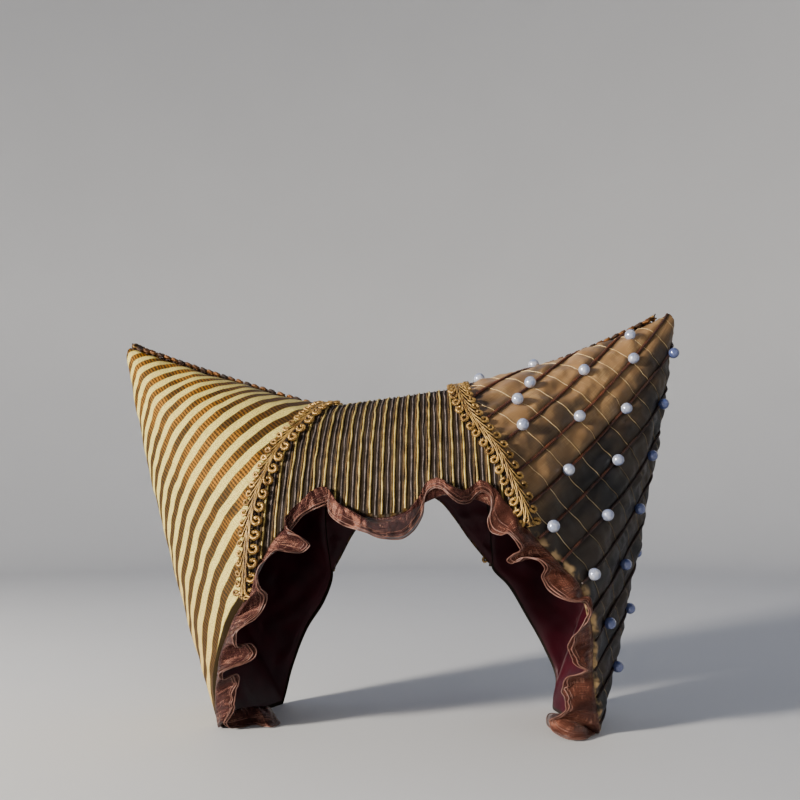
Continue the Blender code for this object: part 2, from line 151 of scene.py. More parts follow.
# A horn's blunt tip, and the zone by its rim where the cloth leans with the band's, as shares of its length
TIP_SCALE = 0.045
LEANING = 0.1
# Turn of the band at which the closing seam of a horn starts
CLOSING_TURN = 0.16
# Steps that slopes are measured over, and the distance within which vertices are sewn together
STEP_ACROSS = 0.001 * MM
STEP_TURN = 0.001
WELD = 0.01 * MM


def unit(vectors: Array) -> Array:
    """Vectors scaled to length one."""
    return vectors / np.linalg.norm(vectors, axis=-1, keepdims=True)


def square_to(vectors: Array, rails: Array) -> Array:
    """Directions of vectors whose part along the rails is taken out."""
    return unit(vectors - rails * np.sum(vectors * rails, axis=-1, keepdims=True))


def ramp(values: Array, low: float, high: float) -> Array:
    """Share, from 0 to 1, of the way of values from low to high."""
    return np.clip((values - low) / (high - low), 0.0, 1.0)


def stretches(inside: Array, least: int) -> list:
    """Slices of the unbroken stretches of True that hold at least so many items."""
    ends = np.flatnonzero(np.diff(np.concatenate([[0], inside.astype(int), [0]])))
    return [slice(start, stop) for start, stop in zip(ends[::2], ends[1::2]) if stop - start >= least]


def bow(share: Array, start: Array, stop: Array, leave: Array, enter: Array) -> Array:
    """Finds points of curved lines.

    Args:
        share: Shares of the way along, 0 at the start and 1 at the stop.
        start: Where each line starts.
        stop: Where it stops.
        leave: Its slope at the start.
        enter: Its slope at the stop.

    Returns:
        The points.
    """
    square, cube = share**2, share**3
    ends = (2 * cube - 3 * square + 1) * start + (3 * square - 2 * cube) * stop
    return ends + (cube - 2 * square + share) * leave + (cube - square) * enter


def smooth_line(knots: Array) -> Array:
    """Draws a smooth curve through knots.

    Args:
        knots: Points, one a row.

    Returns:
        A dense line of points that goes through every knot.
    """
    knots = np.asarray(knots, dtype=float)
    gaps = np.linalg.norm(np.diff(knots, axis=0), axis=1)[:, None]
    slopes = np.diff(knots, axis=0) / gaps
    tangents = np.empty_like(knots)
    tangents[0], tangents[-1] = slopes[0], slopes[-1]
    before, after = gaps[:-1], gaps[1:]
    tangents[1:-1] = (slopes[:-1] * after + slopes[1:] * before) / (before + after)
    f = np.linspace(0.0, 1.0, CURVE_STEPS, endpoint=False)[None, :, None]
    leave, enter = (gaps[:, None] * ends[:, None] for ends in (tangents[:-1], tangents[1:]))
    line = bow(f, knots[:-1, None], knots[1:, None], leave, enter)
    return np.vstack([line.reshape(-1, knots.shape[1]), knots[-1:]])


def run_of(line: Array) -> Array:
    """Distance of each point of a line from its start, measured along it."""
    return np.concatenate([[0.0], np.cumsum(np.linalg.norm(np.diff(line, axis=0), axis=1))])


def pick(stops: Array, marks: Array, values: Array) -> Array:
    """Values at the stops, column by column, between those known at the marks."""
    columns = [np.interp(stops, marks, values[:, c]) for c in range(values.shape[1])]
    return np.stack(columns, axis=-1)


def evenly(line: Array, count: int, carried: Array | None = None) -> Array:
    """Cuts a line into equal lengths.

    Args:
        line: Points of the line.
        count: How many lengths.
        carried: Values that ride along the line, picked in place of its points.

    Returns:
        The points, or the carried values, at the cuts and the ends.
    """
    lengths = run_of(line)
    stops = np.linspace(0.0, lengths[-1], count + 1)
    return pick(stops, lengths, line if carried is None else carried)


@dataclass(frozen=True)
class Unevenness:
    """Smooth seeded unevenness of hand-sewn cloth: a sum of waves in every direction."""

    seed: int
    wavelength: float
    waves: int = 20

    def at(self, spots: Array) -> Array:
        """Heights of about -1 to 1 at the spots, which have two or three columns."""
        rng = np.random.default_rng(self.seed)
        directions = unit(rng.normal(size=(self.waves, spots.shape[-1])))
        numbers = TURN / (self.wavelength * rng.uniform(0.7, 1.6, self.waves))
        phases = rng.uniform(0.0, TURN, self.waves)
        total = np.zeros(spots.shape[:-1])
        for direction, number, phase in zip(directions, numbers, phases):
            total += np.cos(spots @ direction * number + phase)
        return total / math.sqrt(2 * self.waves)


@dataclass
class BandForm:
    """Arch of the band over the head: half an ellipse, then straight down."""

    ridge_height: float = 224.5 * MM
    ridge_slope: float = 0.135
    half_depth: float = 67.0 * MM
    rise: float = 105.0 * MM
    turn_length: float = 105.0 * MM * 1.3

    def point(self, across: Array, turn: Array) -> Array:
        """Points of the band's outer face."""
        across, turn = np.broadcast_arrays(np.asarray(across, float), np.asarray(turn, float))
        angle = math.pi / 2 * np.clip(turn, -1.0, 1.0)
        straight = np.maximum(0.0, np.abs(turn) - 1.0) * self.rise * math.pi / 2
        height = self.ridge_height + self.ridge_slope * across - self.rise * (1 - np.cos(angle)) - straight
        return np.stack([across, self.half_depth * np.sin(angle), height], axis=-1) + ORIGIN

    def slope(self, across: Array, turn: Array) -> Array:
        """Change of the band's point with the turn."""
        before, after = (self.point(across, np.add(turn, step)) for step in (-STEP_TURN, STEP_TURN))
        return (after - before) / (2 * STEP_TURN)

    def normal(self, across: Array, turn: Array) -> Array:
        """Outward directions of the band's outer face."""
        before, after = (self.point(np.add(across, step), turn) for step in (-STEP_ACROSS, STEP_ACROSS))
        return unit(np.cross(after - before, self.slope(across, turn)))

    def turn_at(self, across: float, height: float, side: int) -> float:
        """Turn at which the band's front (side -1) or back (side 1) face has this height."""
        drop = self.ridge_height + self.ridge_slope * across - height
        if drop <= self.rise:
            return side * math.acos(1.0 - drop / self.rise) / (math.pi / 2)
        return side * (1.0 + (drop - self.rise) / (self.rise * math.pi / 2))

    def line(self, spots: list, count: int) -> Array:
        """Smooth line through spots of the band's own coordinates, cut into equal lengths."""
        domain = smooth_line([(across, turn * self.rise) for across, turn in spots])
        domain[:, 1] /= self.rise
        return evenly(self.point(*domain.T), count, domain)

    def edge(self, rows: tuple, side: int, corners: tuple, count: int) -> Array:
        """Free edge from the left corner to the right, in the band's own coordinates."""
        spots = [(row.across * MM, self.turn_at(row.across * MM, row.up * MM, side)) for row in rows]
        return self.line([corners[0], *spots, corners[1]], count)


def cone_normals(loop: Array, tip: Array) -> Array:
    """Outward direction of the straight cone along each generator."""
    tangents = np.roll(loop, -FINE // 2, axis=0) - np.roll(loop, FINE // 2, axis=0)
    normals = unit(np.cross(tangents, tip - loop))
    outward = loop - loop.mean(axis=0)
    return normals if np.sum(normals * outward) > 0 else -normals


@dataclass
class HornForm:
    """A bent cone over its loop, which starts with the seam and goes on with the free rim.

    A place round the loop is counted in samples of the solid model, and a depth is 0 on
    the rim and 1 at the blunt tip.
    """

    side: int
    tip: Array
    bend: Array
    domain: Array
    loop: Array
    normals: Array
    lean: Array

    @classmethod
    def shape(cls, side: int, band: BandForm, seam_rows: tuple, rim_rows: tuple, tip: tuple,
              bend: tuple) -> "HornForm":
        """Works out the loop of a horn.

        Args:
            side: -1 on the left and 1 on the right.
            band: The band that the seam lies on.
            seam_rows: The seam, from the front corner over the ridge to the back.
            rim_rows: The free rim, from the back end of the seam round the foot to the front.
            tip: Apex of the cone, in millimetres.
            bend: How far the middle of its length bends off straight, in millimetres.

        Returns:
            The horn's form.
        """
        apex = np.array(tip) * MM + ORIGIN
        steps = SEAM_STEPS * FINE
        domain = band.line([(row.across * MM, row.turn) for row in seam_rows], steps)
        seam = band.point(*domain.T)
        rim = np.array(rim_rows) * MM + ORIGIN
        free = smooth_line([seam[-1 - FINE], seam[-1], *rim, seam[0], seam[FINE]])[CURVE_STEPS:-CURVE_STEPS]
        free[:, 2] = np.maximum(free[:, 2], 0.0)
        loop = np.vstack([seam, evenly(free, RIM_STEPS * FINE)[1:-1]])
        normals = cone_normals(loop, apex)
        rails = unit(np.gradient(seam, axis=0))
        lean = square_to(normals[: steps + 1] + band.normal(*domain.T), rails)
        leans = np.vstack([lean, normals[steps + 1:]])
        return cls(side, apex, np.array(bend) * MM, domain, loop, normals, leans)

    def closing_place(self) -> float:
        """Place of the generator where the cone's cloth closes, just behind the ridge."""
        turns = self.domain[::FINE, 1]
        return float(np.interp(CLOSING_TURN, turns, np.arange(SEAM_STEPS + 1)))

    def at(self, places: Array, depths: Array) -> tuple[Array, Array]:
        """Points of the outer face and their outward directions."""
        index = np.asarray(places, float) * FINE
        first = np.floor(index).astype(int)
        share = (index - first)[..., None]
        first = first % len(self.loop)
        after = (first + 1) % len(self.loop)
        base = self.loop[first] * (1 - share) + self.loop[after] * share
        depths = np.asarray(depths, float)[..., None]
        points = self.tip + (base - self.tip) * (1 - depths * (1 - TIP_SCALE))
        points = points + 4 * depths * (1 - depths) * self.bend
        near = ramp(depths, LEANING, 0.0)
        lean = self.lean[first] * (1 - share) + self.lean[after] * share
        plain = self.normals[first] * (1 - share) + self.normals[after] * share
        return points, unit(lean * near + plain * (1 - near))


@dataclass
class FlatCloth:
    """A horn's cloth cut at the closing seam and laid flat round the cone's tip.

    Along runs from the tip down the grain, and across is square to it.
    """

    grain: float
    places: Array
    fan: Array
    slants: Array

    @classmethod
    def unroll(cls, form: HornForm, grain: float) -> "FlatCloth":
        """Lays a horn's cloth flat, with its grain at an angle from the closing seam."""
        places = form.closing_place() + np.linspace(0.0, LOOP_STEPS, LOOP_STEPS * FLAT_STEPS + 1)
        coarse = form.loop[::FINE]
        first = np.floor(places).astype(int)
        share = (places - first)[:, None]
        rims = coarse[first % LOOP_STEPS] * (1 - share) + coarse[(first + 1) % LOOP_STEPS] * share
        slants = np.linalg.norm(rims - form.tip, axis=1)
        rays = (rims - form.tip) / slants[:, None]
        return cls(grain, places, run_of(rays), slants)

    def slant(self, places: Array) -> Array:
        """Length of the generator at each place."""
        return np.interp(places, self.places, self.slants)

    def spots(self, places: Array, radii: Array) -> Array:
        """Along and across of places at distances from the tip."""
        angles = np.interp(places, self.places, self.fan) - self.grain
        return np.stack([radii * np.cos(angles), radii * np.sin(angles)], axis=-1)

    def find(self, along: Array, across: Array) -> tuple[Array, Array, Array]:
        """Finds spots of the flat cloth on the horn.

        Args:
            along: Distances along the grain.
            across: Distances across it.

        Returns:
            The places, the depths, and whether there is cloth at each.
        """
        radii = np.hypot(along, across)
        angles = self.grain + np.arctan2(across, along)
        places = np.interp(angles, self.fan, self.places)
        slants = self.slant(places)
        inside = (angles > self.fan[0]) & (angles < self.fan[-1]) & (radii < slants)
        return places, (1 - radii / slants) / (1 - TIP_SCALE), inside

    def size(self) -> tuple[float, float, float]:
        """Width, length and area of the flat cut."""
        rim = self.spots(self.places, self.slants)
        corners = np.vstack([rim, [[0.0, 0.0]]])
        width, length = corners.max(axis=0) - corners.min(axis=0)
        area = 0.5 * np.sum(self.slants[:-1] ** 2 * np.diff(self.fan))
        return float(width), float(length), float(area)


class Value:
    """Output of a node, from which arithmetic makes further nodes."""

    def __init__(self, bench: "Bench", socket: NodeSocket) -> None:
        """Takes the output and the bench of its tree."""
        self.bench = bench
        self.socket = socket

    def __add__(self, other: object) -> "Value":
        """Sum."""
        return self.bench.math("ADD", self, other)

    def __sub__(self, other: object) -> "Value":
        """Difference."""
        return self.bench.math("SUBTRACT", self, other)

    def __rsub__(self, other: object) -> "Value":
        """Difference from a number."""
        return self.bench.math("SUBTRACT", other, self)

    def __mul__(self, other: object) -> "Value":
        """Product."""
        return self.bench.math("MULTIPLY", self, other)

    def __truediv__(self, other: object) -> "Value":
        """Quotient."""
        return self.bench.math("DIVIDE", self, other)

    def __abs__(self) -> "Value":
        """Size without the sign."""
        return self.bench.math("ABSOLUTE", self)

    def between(self, low: float, high: float) -> "Value":
        """Soft share, from 0 to 1, of the way from low to high."""
        return self.bench.result("ShaderNodeMapRange", self, low, high, interpolation_type="SMOOTHSTEP")


class Bench:
    """Node tree of a material or a group, with short calls that add nodes and join them."""

    def __init__(self, tree: NodeTree) -> None:
        """Takes the tree to work on."""
        self.tree = tree

    def add(self, kind: str, **settings: object) -> Node:
        """Adds a node of a kind and gives it its settings."""
        node = self.tree.nodes.new(kind)
        for name, value in settings.items():
            setattr(node, name, value)
        return node

    def join(self, value: object, socket: NodeSocket) -> None:
        """Feeds a socket from another node or sets it to a number or colour."""
        if isinstance(value, Value):
            self.tree.links.new(value.socket, socket)
        else:
            socket.default_value = value

    def result(self, kind: str, *values: object, **settings: object) -> Value:
        """First output of a new node whose inputs take the values in their order."""
        node = self.add(kind, **settings)
        for value, socket in zip(values, node.inputs):
            self.join(value, socket)
        return Value(self, node.outputs[0])

    def math(self, operation: str, *values: object) -> Value:
        """Result of a math node."""
        return self.result("ShaderNodeMath", *values, operation=operation)

    def feed(self, node: Node, **values: object) -> Node:
        """Feeds inputs of a node by their names."""
        for name, value in values.items():
            self.join(value, node.inputs[name.replace("_", " ")])
        return node

    def mix(self, share: object, first: object, second: object) -> Value:
        """Colour between two colours."""
        node = self.add("ShaderNodeMix", data_type="RGBA")
        for item, name in ((share, "Factor_Float"), (first, "A_Color"), (second, "B_Color")):
            self.join(item, next(s for s in node.inputs if s.identifier == name))
        return Value(self, next(s for s in node.outputs if s.identifier == "Result_Color"))

    def tinted(self, base: object, *layers: tuple) -> object:
        """Colour with other colours over it, each given after its share."""
        for share, tint in layers:
            base = self.mix(share, base, tint)
        return base

    def noise(self, vector: Value, scale: object, detail: float = 2.0, rough: float = 0.5) -> Value:
        """Smooth random value of about 0.5 that changes over a vector."""
        node = self.add("ShaderNodeTexNoise")
        self.feed(node, Vector=vector, Scale=scale, Detail=detail, Roughness=rough)
        return Value(self, node.outputs["Fac"])

    def stretch(self, vector: Value, scale: tuple, turn: float = 0.0) -> Value:
        """Vector stretched along its axes after a turn in its plane."""
        node = self.add("ShaderNodeMapping")
        self.feed(node, Vector=vector, Rotation=(0.0, 0.0, turn), Scale=scale)
        return Value(self, node.outputs["Vector"])

    def bump(self, height: Value, distance: float, strength: float, **under: Value) -> Value:
        """Normal bent by a height, over another Normal where one is given."""
        node = self.add("ShaderNodeBump")
        self.feed(node, Height=height, Distance=distance, Strength=strength, **under)
        return Value(self, node.outputs["Normal"])

    def cloth_map(self) -> Value:
        """Flat-cloth coordinates in metres: x across the grain and y along it."""
        return self.result("ShaderNodeUVMap", uv_map="flat_cloth")

    def place(self) -> Value:
        """Object coordinates in metres."""
        return Value(self, self.add("ShaderNodeTexCoord").outputs["Object"])

    def parts(self, vector: Value) -> tuple[Value, Value, Value]:
        """The x, y and z of a vector."""
        node = self.add("ShaderNodeSeparateXYZ")
        self.join(vector, node.inputs[0])
        return tuple(Value(self, part) for part in node.outputs)

    def mark(self, label: str) -> Value:
        """Value that the cloth's vertices carry under a label."""
        return Value(self, self.add("ShaderNodeAttribute", attribute_name=label).outputs["Fac"])

    def away_from_light(self, lean: float, low: float, high: float) -> Value:
        """Share, 0 at low to 1 at high, by which a spot lies on the dark side of the right horn."""
        x, _, z = self.parts(self.place())
        return (x - z * lean).between(low, high)

    def group(self, effect: NodeTree, **values: object) -> dict:
        """Adds a shared effect with its own values, and gives its outputs by name."""
        node = self.feed(self.add("ShaderNodeGroup", node_tree=effect), **values)
        return {socket.name: Value(self, socket) for socket in node.outputs}


class Surface(Bench):
    """Bench on a new material."""

    def __init__(self, name: str) -> None:
        """Starts the material."""
        self.made = bpy.data.materials.new(name)
        self.made.use_nodes = True
        super().__init__(self.made.node_tree)

    def cloth(self, effects: "Effects", scale: float, pitch: float) -> tuple[Value, dict, dict]:
        """Flat-cloth coordinates, with slubs of a scale and a weave of a pitch in metres."""
        flat = self.cloth_map()
        slubs = self.group(effects.slubs, Vector=flat, Scale=scale)
        return flat, slubs, self.group(effects.weave, Vector=flat, Pitch=pitch)

    def coat(self, **values: object) -> Material:
        """Feeds the main shader and returns the finished material."""
        self.feed(self.tree.nodes["Principled BSDF"], **values)
        return self.made


def colour(red: int, green: int, blue: int) -> tuple:
    """Shader colour of a screen colour given as three numbers up to 255."""
    shares = (red / 255, green / 255, blue / 255)
    return (*(s / 12.92 if s <= 0.04045 else ((s + 0.055) / 1.055) ** 2.4 for s in shares), 1.0)


class Effect(Bench):
    """Bench on a new shader node group that takes a vector and a number and gives a shade and a height."""

    def __init__(self, name: str, number: str) -> None:
        """Starts the group, with the name of its number."""
        super().__init__(bpy.data.node_groups.new(name, "ShaderNodeTree"))
        face = self.tree.interface
        face.new_socket("Vector", in_out="INPUT", socket_type="NodeSocketVector")
        face.new_socket(number, in_out="INPUT", socket_type="NodeSocketFloat")
        for label in ("Shade", "Height"):
            face.new_socket(label, in_out="OUTPUT", socket_type="NodeSocketFloat")
        self.vector, self.number, _ = (Value(self, socket) for socket in self.add("NodeGroupInput").outputs)

    def give(self, shade: Value, height: Value) -> NodeTree:
        """Ends the group with its results."""
        self.feed(self.add("NodeGroupOutput"), Shade=shade, Height=height)
        return self.tree


class Effects:
    """Effects that several finishes share, each built once as a node group."""

    def __init__(self) -> None:
        """Builds every group."""
        self.weave = self.build_weave()
        self.slubs = self.build_slubs()
        self.yarn = self.build_yarn()

    def build_weave(self) -> NodeTree:
        """Plain weave: threads that cross over and under."""
        bench = Effect("plain_weave", "Pitch")
        x, y, _ = bench.parts(bench.vector)
        across, along = (bench.math("SINE", axis / bench.number * TURN) for axis in (x, y))
        crossed = across * along
        return bench.give(crossed * 0.12 + bench.noise(bench.vector, 2600.0, 1.0), crossed * 0.5 + 0.5)

    def build_slubs(self) -> NodeTree:
        """Uneven threads: long thin flecks along both ways of the cloth."""
        bench = Effect("slubs", "Scale")
        flecks = []
        for scale in ((2200.0, 90.0, 1.0), (110.0, 2400.0, 1.0)):
            scaled = bench.add("ShaderNodeVectorMath", operation="SCALE")
            bench.feed(scaled, Vector=bench.stretch(bench.vector, scale), Scale=bench.number)
            flecks.append(bench.noise(Value(bench, scaled.outputs[0]), 1.0))
        return bench.give((flecks[0] + flecks[1]) * 0.5, flecks[0])

    def build_yarn(self) -> NodeTree:
        """Wrapped yarn: fine wraps in every direction and slow changes of shade."""
        bench = Effect("yarn", "Wraps")
        fine = bench.noise(bench.vector, bench.number)
        return bench.give(fine * 0.45 + bench.noise(bench.vector, 160.0, 3.0, 0.6) * 0.55, fine)


@dataclass(frozen=True)
class StripedSatin:
    """Cream satin stripes between brown stripes of fine bars, for the left horn."""

    period: float = 13.75 * MM
    first: float = 7.75 * MM
    brown_share: float = 0.5
    bar_pitch: float = 2.3 * MM
    lit_middle: float = 12 * MM
    cream: tuple = colour(218, 202, 118)
    cream_shade: tuple = colour(142, 124, 58)
    # pinkish: painted shade, a darker cream for the horn's outer left side
    pinkish: tuple = colour(168, 122, 74)
    caramel: tuple = colour(158, 102, 20)
    brown: tuple = colour(62, 41, 13)
    dark: tuple = colour(23, 15, 6)
    # mauve: painted shade for the top edge towards the tip
    mauve: tuple = colour(82, 60, 46)

    def dress(self, effects: Effects) -> Material:
        """Builds the material."""
        bench = Surface("striped_satin")
        flat, slubs, weave = bench.cloth(effects, 1.0, 0.55 * MM)
        x, y, _ = bench.parts(flat)
        wander = bench.noise(flat, 45.0, 1.0) * 0.0012 - 0.0006
        turns = (bench.mark("stripe") - self.first + wander) / self.period
        off = abs(turns - bench.math("ROUND", turns))
        half = self.brown_share / 2
        is_brown = 1.0 - off.between(half - 0.02, half + 0.02)
        inner = abs(off - half).between(0.0, 0.035)

        jitter = bench.noise(bench.stretch(flat, (1.0, 0.3, 1.0)), 300.0, 0.0) * 0.5
        bar = bench.math("SINE", (x / self.bar_pitch + jitter) * TURN) * 0.5 + 0.5
        row = bench.math("COSINE", off * (TURN * self.period / self.bar_pitch)) * 0.5 + 0.5
        bars = row * 0.32 + bar * 0.68
        glow = abs(x - self.lit_middle).between(0.048, 0.012)
        lit = glow * bench.noise(flat, 42.0).between(0.34, 0.6)
        light_bar = bench.mix(lit, bench.mix(0.12, self.brown, self.caramel), self.caramel)
        dark_bar = bench.mix(lit * 0.8, self.dark, self.brown)

        grain = bench.noise(flat, 1250.0, 1.0) * 0.4 + (weave["Shade"] * 0.3 + slubs["Shade"] * 0.3)
        cream = bench.mix(grain.between(0.42, 0.57), self.cream_shade, self.cream)
        # painted shade: the cream turns darker and pinkish towards the outer left side
        cream = bench.mix(x.between(-0.05, -0.11) * 0.35, cream, self.pinkish)
        brown = bench.mix(bars.between(0.3, 0.72), dark_bar, light_bar)
        brown = bench.mix(grain.between(0.56, 0.42) * 0.45, brown, self.dark)
        rolled = bench.mark("rim").between(0.04, 0.25)
        base = bench.tinted(
            bench.mix(is_brown, cream, brown),
            # painted shade: mauve along the top edge towards the tip, where the light grazes
            (x.between(0.03, 0.08) * y.between(0.19, 0.1) * 0.6, self.mauve),
            ((1.0 - inner) * 0.4, self.brown),
            # painted shade: the rolled rim turns dark, as it faces away from the light
            (rolled, self.dark),
        )
        normal = bench.bump(bars * is_brown * 0.6 + weave["Height"] * 0.35, 0.14 * MM, 0.7)
        return bench.coat(
            Base_Color=base,
            Roughness=bench.math("MAXIMUM", is_brown * 0.14 + grain * 0.25 + 0.36, rolled),
            Normal=bench.bump(slubs["Height"], 0.15 * MM, 0.4, Normal=normal),
            Specular_IOR_Level=0.24,
            Specular_Tint=colour(255, 226, 170),
        )


@dataclass(frozen=True)
class ShotTaffeta:
    """Brown cloth shot with gold, for the quilted right horn. Part of its gold is painted sheen highlight,
    and its blue-green and dark brown are painted shade.
    """

    brown: tuple = colour(158, 121, 80)
    # gold: the cloth's own shot gold, also used as painted sheen highlight
    gold: tuple = colour(204, 168, 116)
    # green: painted shade, blue-green, for the side turned from the light and between folds
    green: tuple = colour(15, 23, 30)
    # deep: painted shade, dark brown, at the back of the rim and by the cords
    deep: tuple = colour(28, 20, 15)

    def dress(self, effects: Effects) -> Material:
        """Builds the material."""
        bench = Surface("shot_taffeta")
        flat, slubs, weave = bench.cloth(effects, 0.8, 0.42 * MM)
        x, _, _ = bench.parts(flat)
        _, depth, _ = bench.parts(bench.place())
        tone = slubs["Shade"] * 0.55 + bench.noise(flat, 55.0, 3.0) * 0.45
        patches = bench.noise(bench.stretch(flat, (1.0, 0.45, 1.0), 0.6), 38.0)
        rim = bench.mark("rim").between(0.2, 0.8)
        cloth = bench.tinted(
            # gold in random patches: partly the cloth's own shot, partly painted sheen highlight
            bench.mix(tone.between(0.46, 0.72), self.brown, self.gold),
            # painted shade: dark blue-green patches, like shadows between folds
            (patches.between(0.44, 0.64) * 0.75, self.green),
            # painted shade: blue-green over the side turned away from the light
            (x.between(0.018, -0.035) * 0.92, self.green),
            # painted highlight: gold glints along the rim
            (rim * bench.noise(flat, 150.0).between(0.4, 0.62) * 0.75, self.gold),
            # painted shade: darker towards the back of the rim
            (rim * depth.between(-0.005, 0.015), self.deep),
            # painted shade: darker in the creases by the cords
            ((1.0 - bench.mark("puff").between(0.0, 0.45)) * 0.6, self.deep),
        )
        return bench.coat(
            Base_Color=cloth,
            Roughness=tone * 0.22 + 0.34,
            Normal=bench.bump(slubs["Height"] * 0.7 + weave["Height"] * 0.3, 0.2 * MM, 0.5),
            Sheen_Weight=0.08,
            Sheen_Roughness=0.3,
            Sheen_Tint=colour(110, 130, 160),
            Specular_IOR_Level=0.4,
            Specular_Tint=colour(214, 210, 200),
            Metallic=0.12,
        )


@dataclass(frozen=True)
class CordFinish:
    """Yarn of a cord: its light and dark shades, how it shines, and how far it darkens as painted shade on
    the right horn's side turned from the light.
    """

    name: str
    light: tuple
    dark: tuple
    rough: float
    metal: float = 0.0
    wraps: float = 2400.0
    sheen: float = 0.2
    # painted shade: share and colour by which the yarn darkens on the side turned from the light
    painted_shade: float = 0.0
    painted_shade_colour: tuple = colour(18, 11, 8)

    def dress(self, effects: Effects) -> Material:
        """Builds the material."""
        bench = Surface(self.name)
        yarn = bench.group(effects.yarn, Vector=bench.place(), Wraps=self.wraps)
        base = bench.mix(yarn["Shade"].between(0.36, 0.64), self.dark, self.light)
        if self.painted_shade:
            # painted shade: darker on the right horn's side turned away from the light
            base = bench.mix(bench.away_from_light(0.5, 0.038, 0.078) * self.painted_shade, base, self.painted_shade_colour)
        return bench.coat(
            Base_Color=base,
            Roughness=yarn["Shade"] * -0.2 + (self.rough + 0.1),
            Normal=bench.bump(yarn["Height"], 0.12 * MM, 0.6),
            Metallic=self.metal,
            Sheen_Weight=self.sheen,
            Sheen_Roughness=0.4,
            Sheen_Tint=self.light,
        )


YARNS = (
    CordFinish("pintuck_yarn", colour(104, 52, 24), colour(34, 15, 7), 0.55, painted_shade=0.85),
    CordFinish("gold_thread", colour(240, 218, 168), colour(190, 156, 98), 0.4, 0.3, painted_shade=0.72),
    CordFinish("rib_gold", colour(208, 184, 104), colour(112, 88, 38), 0.5, 0.1),
    CordFinish("rib_grey", colour(116, 104, 100), colour(48, 40, 36), 0.85, 0.0, 1700.0, 0.05),
    CordFinish("rib_ochre", colour(98, 70, 32), colour(34, 22, 10), 0.85, 0.0, 1700.0, 0.05),
    CordFinish("gimp_bright", colour(208, 166, 92), colour(72, 44, 16), 0.32, 0.5),
    CordFinish("gimp_pale", colour(196, 160, 88), colour(104, 72, 32), 0.42, 0.2),
    # dark gimp yarn: some loops of the narrow braids are dark, and the same yarn paints shade as cords in
    # the braids' gaps and loop hearts
    CordFinish("gimp_dull", colour(64, 38, 15), colour(26, 14, 6), 0.6, 0.1),
    CordFinish("gimp_old_gold", colour(138, 88, 34), colour(52, 28, 10), 0.42, 0.3),
    CordFinish("ribbon_hem", colour(124, 84, 70), colour(72, 44, 36), 0.45),
)


@dataclass(frozen=True)
class RibbedGround:
    """Dark chenille between the cords of the band: ochre, olive black and purple grey lines."""

    pitch: float = 6.8 * MM
    ochre: tuple = colour(96, 70, 32)
    olive: tuple = colour(70, 55, 32)
    black: tuple = colour(28, 20, 12)
    purple: tuple = colour(100, 88, 80)

    def dress(self, effects: Effects) -> Material:
        """Builds the material."""
        bench = Surface("ribbed_ground")
        flat = bench.cloth_map()
        x, _, _ = bench.parts(flat)
        turns = (x + (bench.noise(flat, 90.0) * 0.0016 - 0.0008)) / self.pitch
        ramp = bench.add("ShaderNodeValToRGB")
        stops = ((0.0, self.ochre), (0.12, self.olive), (0.34, self.black), (0.5, self.purple),
                 (0.62, self.black), (0.76, self.olive), (0.87, self.ochre), (1.0, self.ochre))
        elements = ramp.color_ramp.elements
        while len(elements) < len(stops):
            elements.new(0.5)
        for element, (position, tone) in zip(elements, stops):
            element.position, element.color = position, tone
        lines = Value(bench, bench.feed(ramp, Fac=bench.math("FRACT", turns)).outputs["Color"])
        fuzz = bench.group(effects.yarn, Vector=bench.place(), Wraps=1800.0)
        height = abs(bench.math("SINE", turns * TURN)) + fuzz["Height"] * 0.8
        worn = bench.mix(0.7, lines, self.black)
        return bench.coat(
            Base_Color=bench.mix(fuzz["Shade"].between(0.36, 0.6), worn, lines),
            Roughness=0.8,
            Normal=bench.bump(height, 0.4 * MM, 0.8),
            Specular_IOR_Level=0.15,
        )


@dataclass(frozen=True)
class LiningSatin:
    """Very dark burgundy satin."""

    dark: tuple = colour(38, 3, 14)
    lit: tuple = colour(58, 5, 20)

    def dress(self, effects: Effects) -> Material:
        """Builds the material."""
        bench = Surface("lining_satin")
        flat, slubs, weave = bench.cloth(effects, 1.2, 0.4 * MM)
        tone = bench.noise(flat, 40.0) * 0.6 + slubs["Shade"] * 0.4
        return bench.coat(
            Base_Color=bench.mix(tone.between(0.35, 0.65), self.dark, self.lit),
            Roughness=tone * 0.2 + 0.34,
            Normal=bench.bump(slubs["Height"] + weave["Height"] * 0.3, 0.1 * MM, 0.4),
            Specular_IOR_Level=0.2,
        )


@dataclass(frozen=True)
class SheerRibbon:
    """Brown-mauve organza that lets light through, warmer towards the right of the hat."""

    mauve: tuple = colour(58, 33, 33)
    rust: tuple = colour(86, 50, 40)
    shadow: tuple = colour(20, 10, 10)
    glint: tuple = colour(186, 142, 120)
    cover: float = 0.72
    rough: float = 0.27

    def dress(self, effects: Effects) -> Material:
        """Builds the material."""
        bench = Surface("sheer_ribbon")
        flat, slubs, weave = bench.cloth(effects, 0.7, 0.5 * MM)
        x, _, _ = bench.parts(bench.place())
        cloudy = bench.noise(bench.stretch(flat, (1.0, 2.2, 1.0)), 62.0)
        tone = bench.tinted(
            bench.mix(x.between(0.02, 0.12), self.mauve, self.rust),
            (cloudy.between(0.55, 0.38) * 0.55, self.shadow),
            (slubs["Shade"].between(0.54, 0.63) * cloudy.between(0.44, 0.56) * 0.6, self.glint),
        )
        crush = bench.bump(bench.noise(bench.stretch(flat, (1.0, 0.45, 1.0), 0.5), 330.0), 0.5 * MM, 0.7)
        return bench.coat(
            Base_Color=tone,
            Alpha=weave["Height"] * 0.12 + self.cover,
            Roughness=slubs["Shade"].between(0.35, 0.65) * 0.1 + self.rough,
            Normal=bench.bump(slubs["Height"] * 0.25 + weave["Height"], 0.06 * MM, 0.5, Normal=crush),
            Sheen_Weight=0.1,
            Sheen_Roughness=0.3,
            Sheen_Tint=colour(170, 110, 88),
            Specular_IOR_Level=0.5,
            Specular_Tint=colour(214, 140, 110),
        )


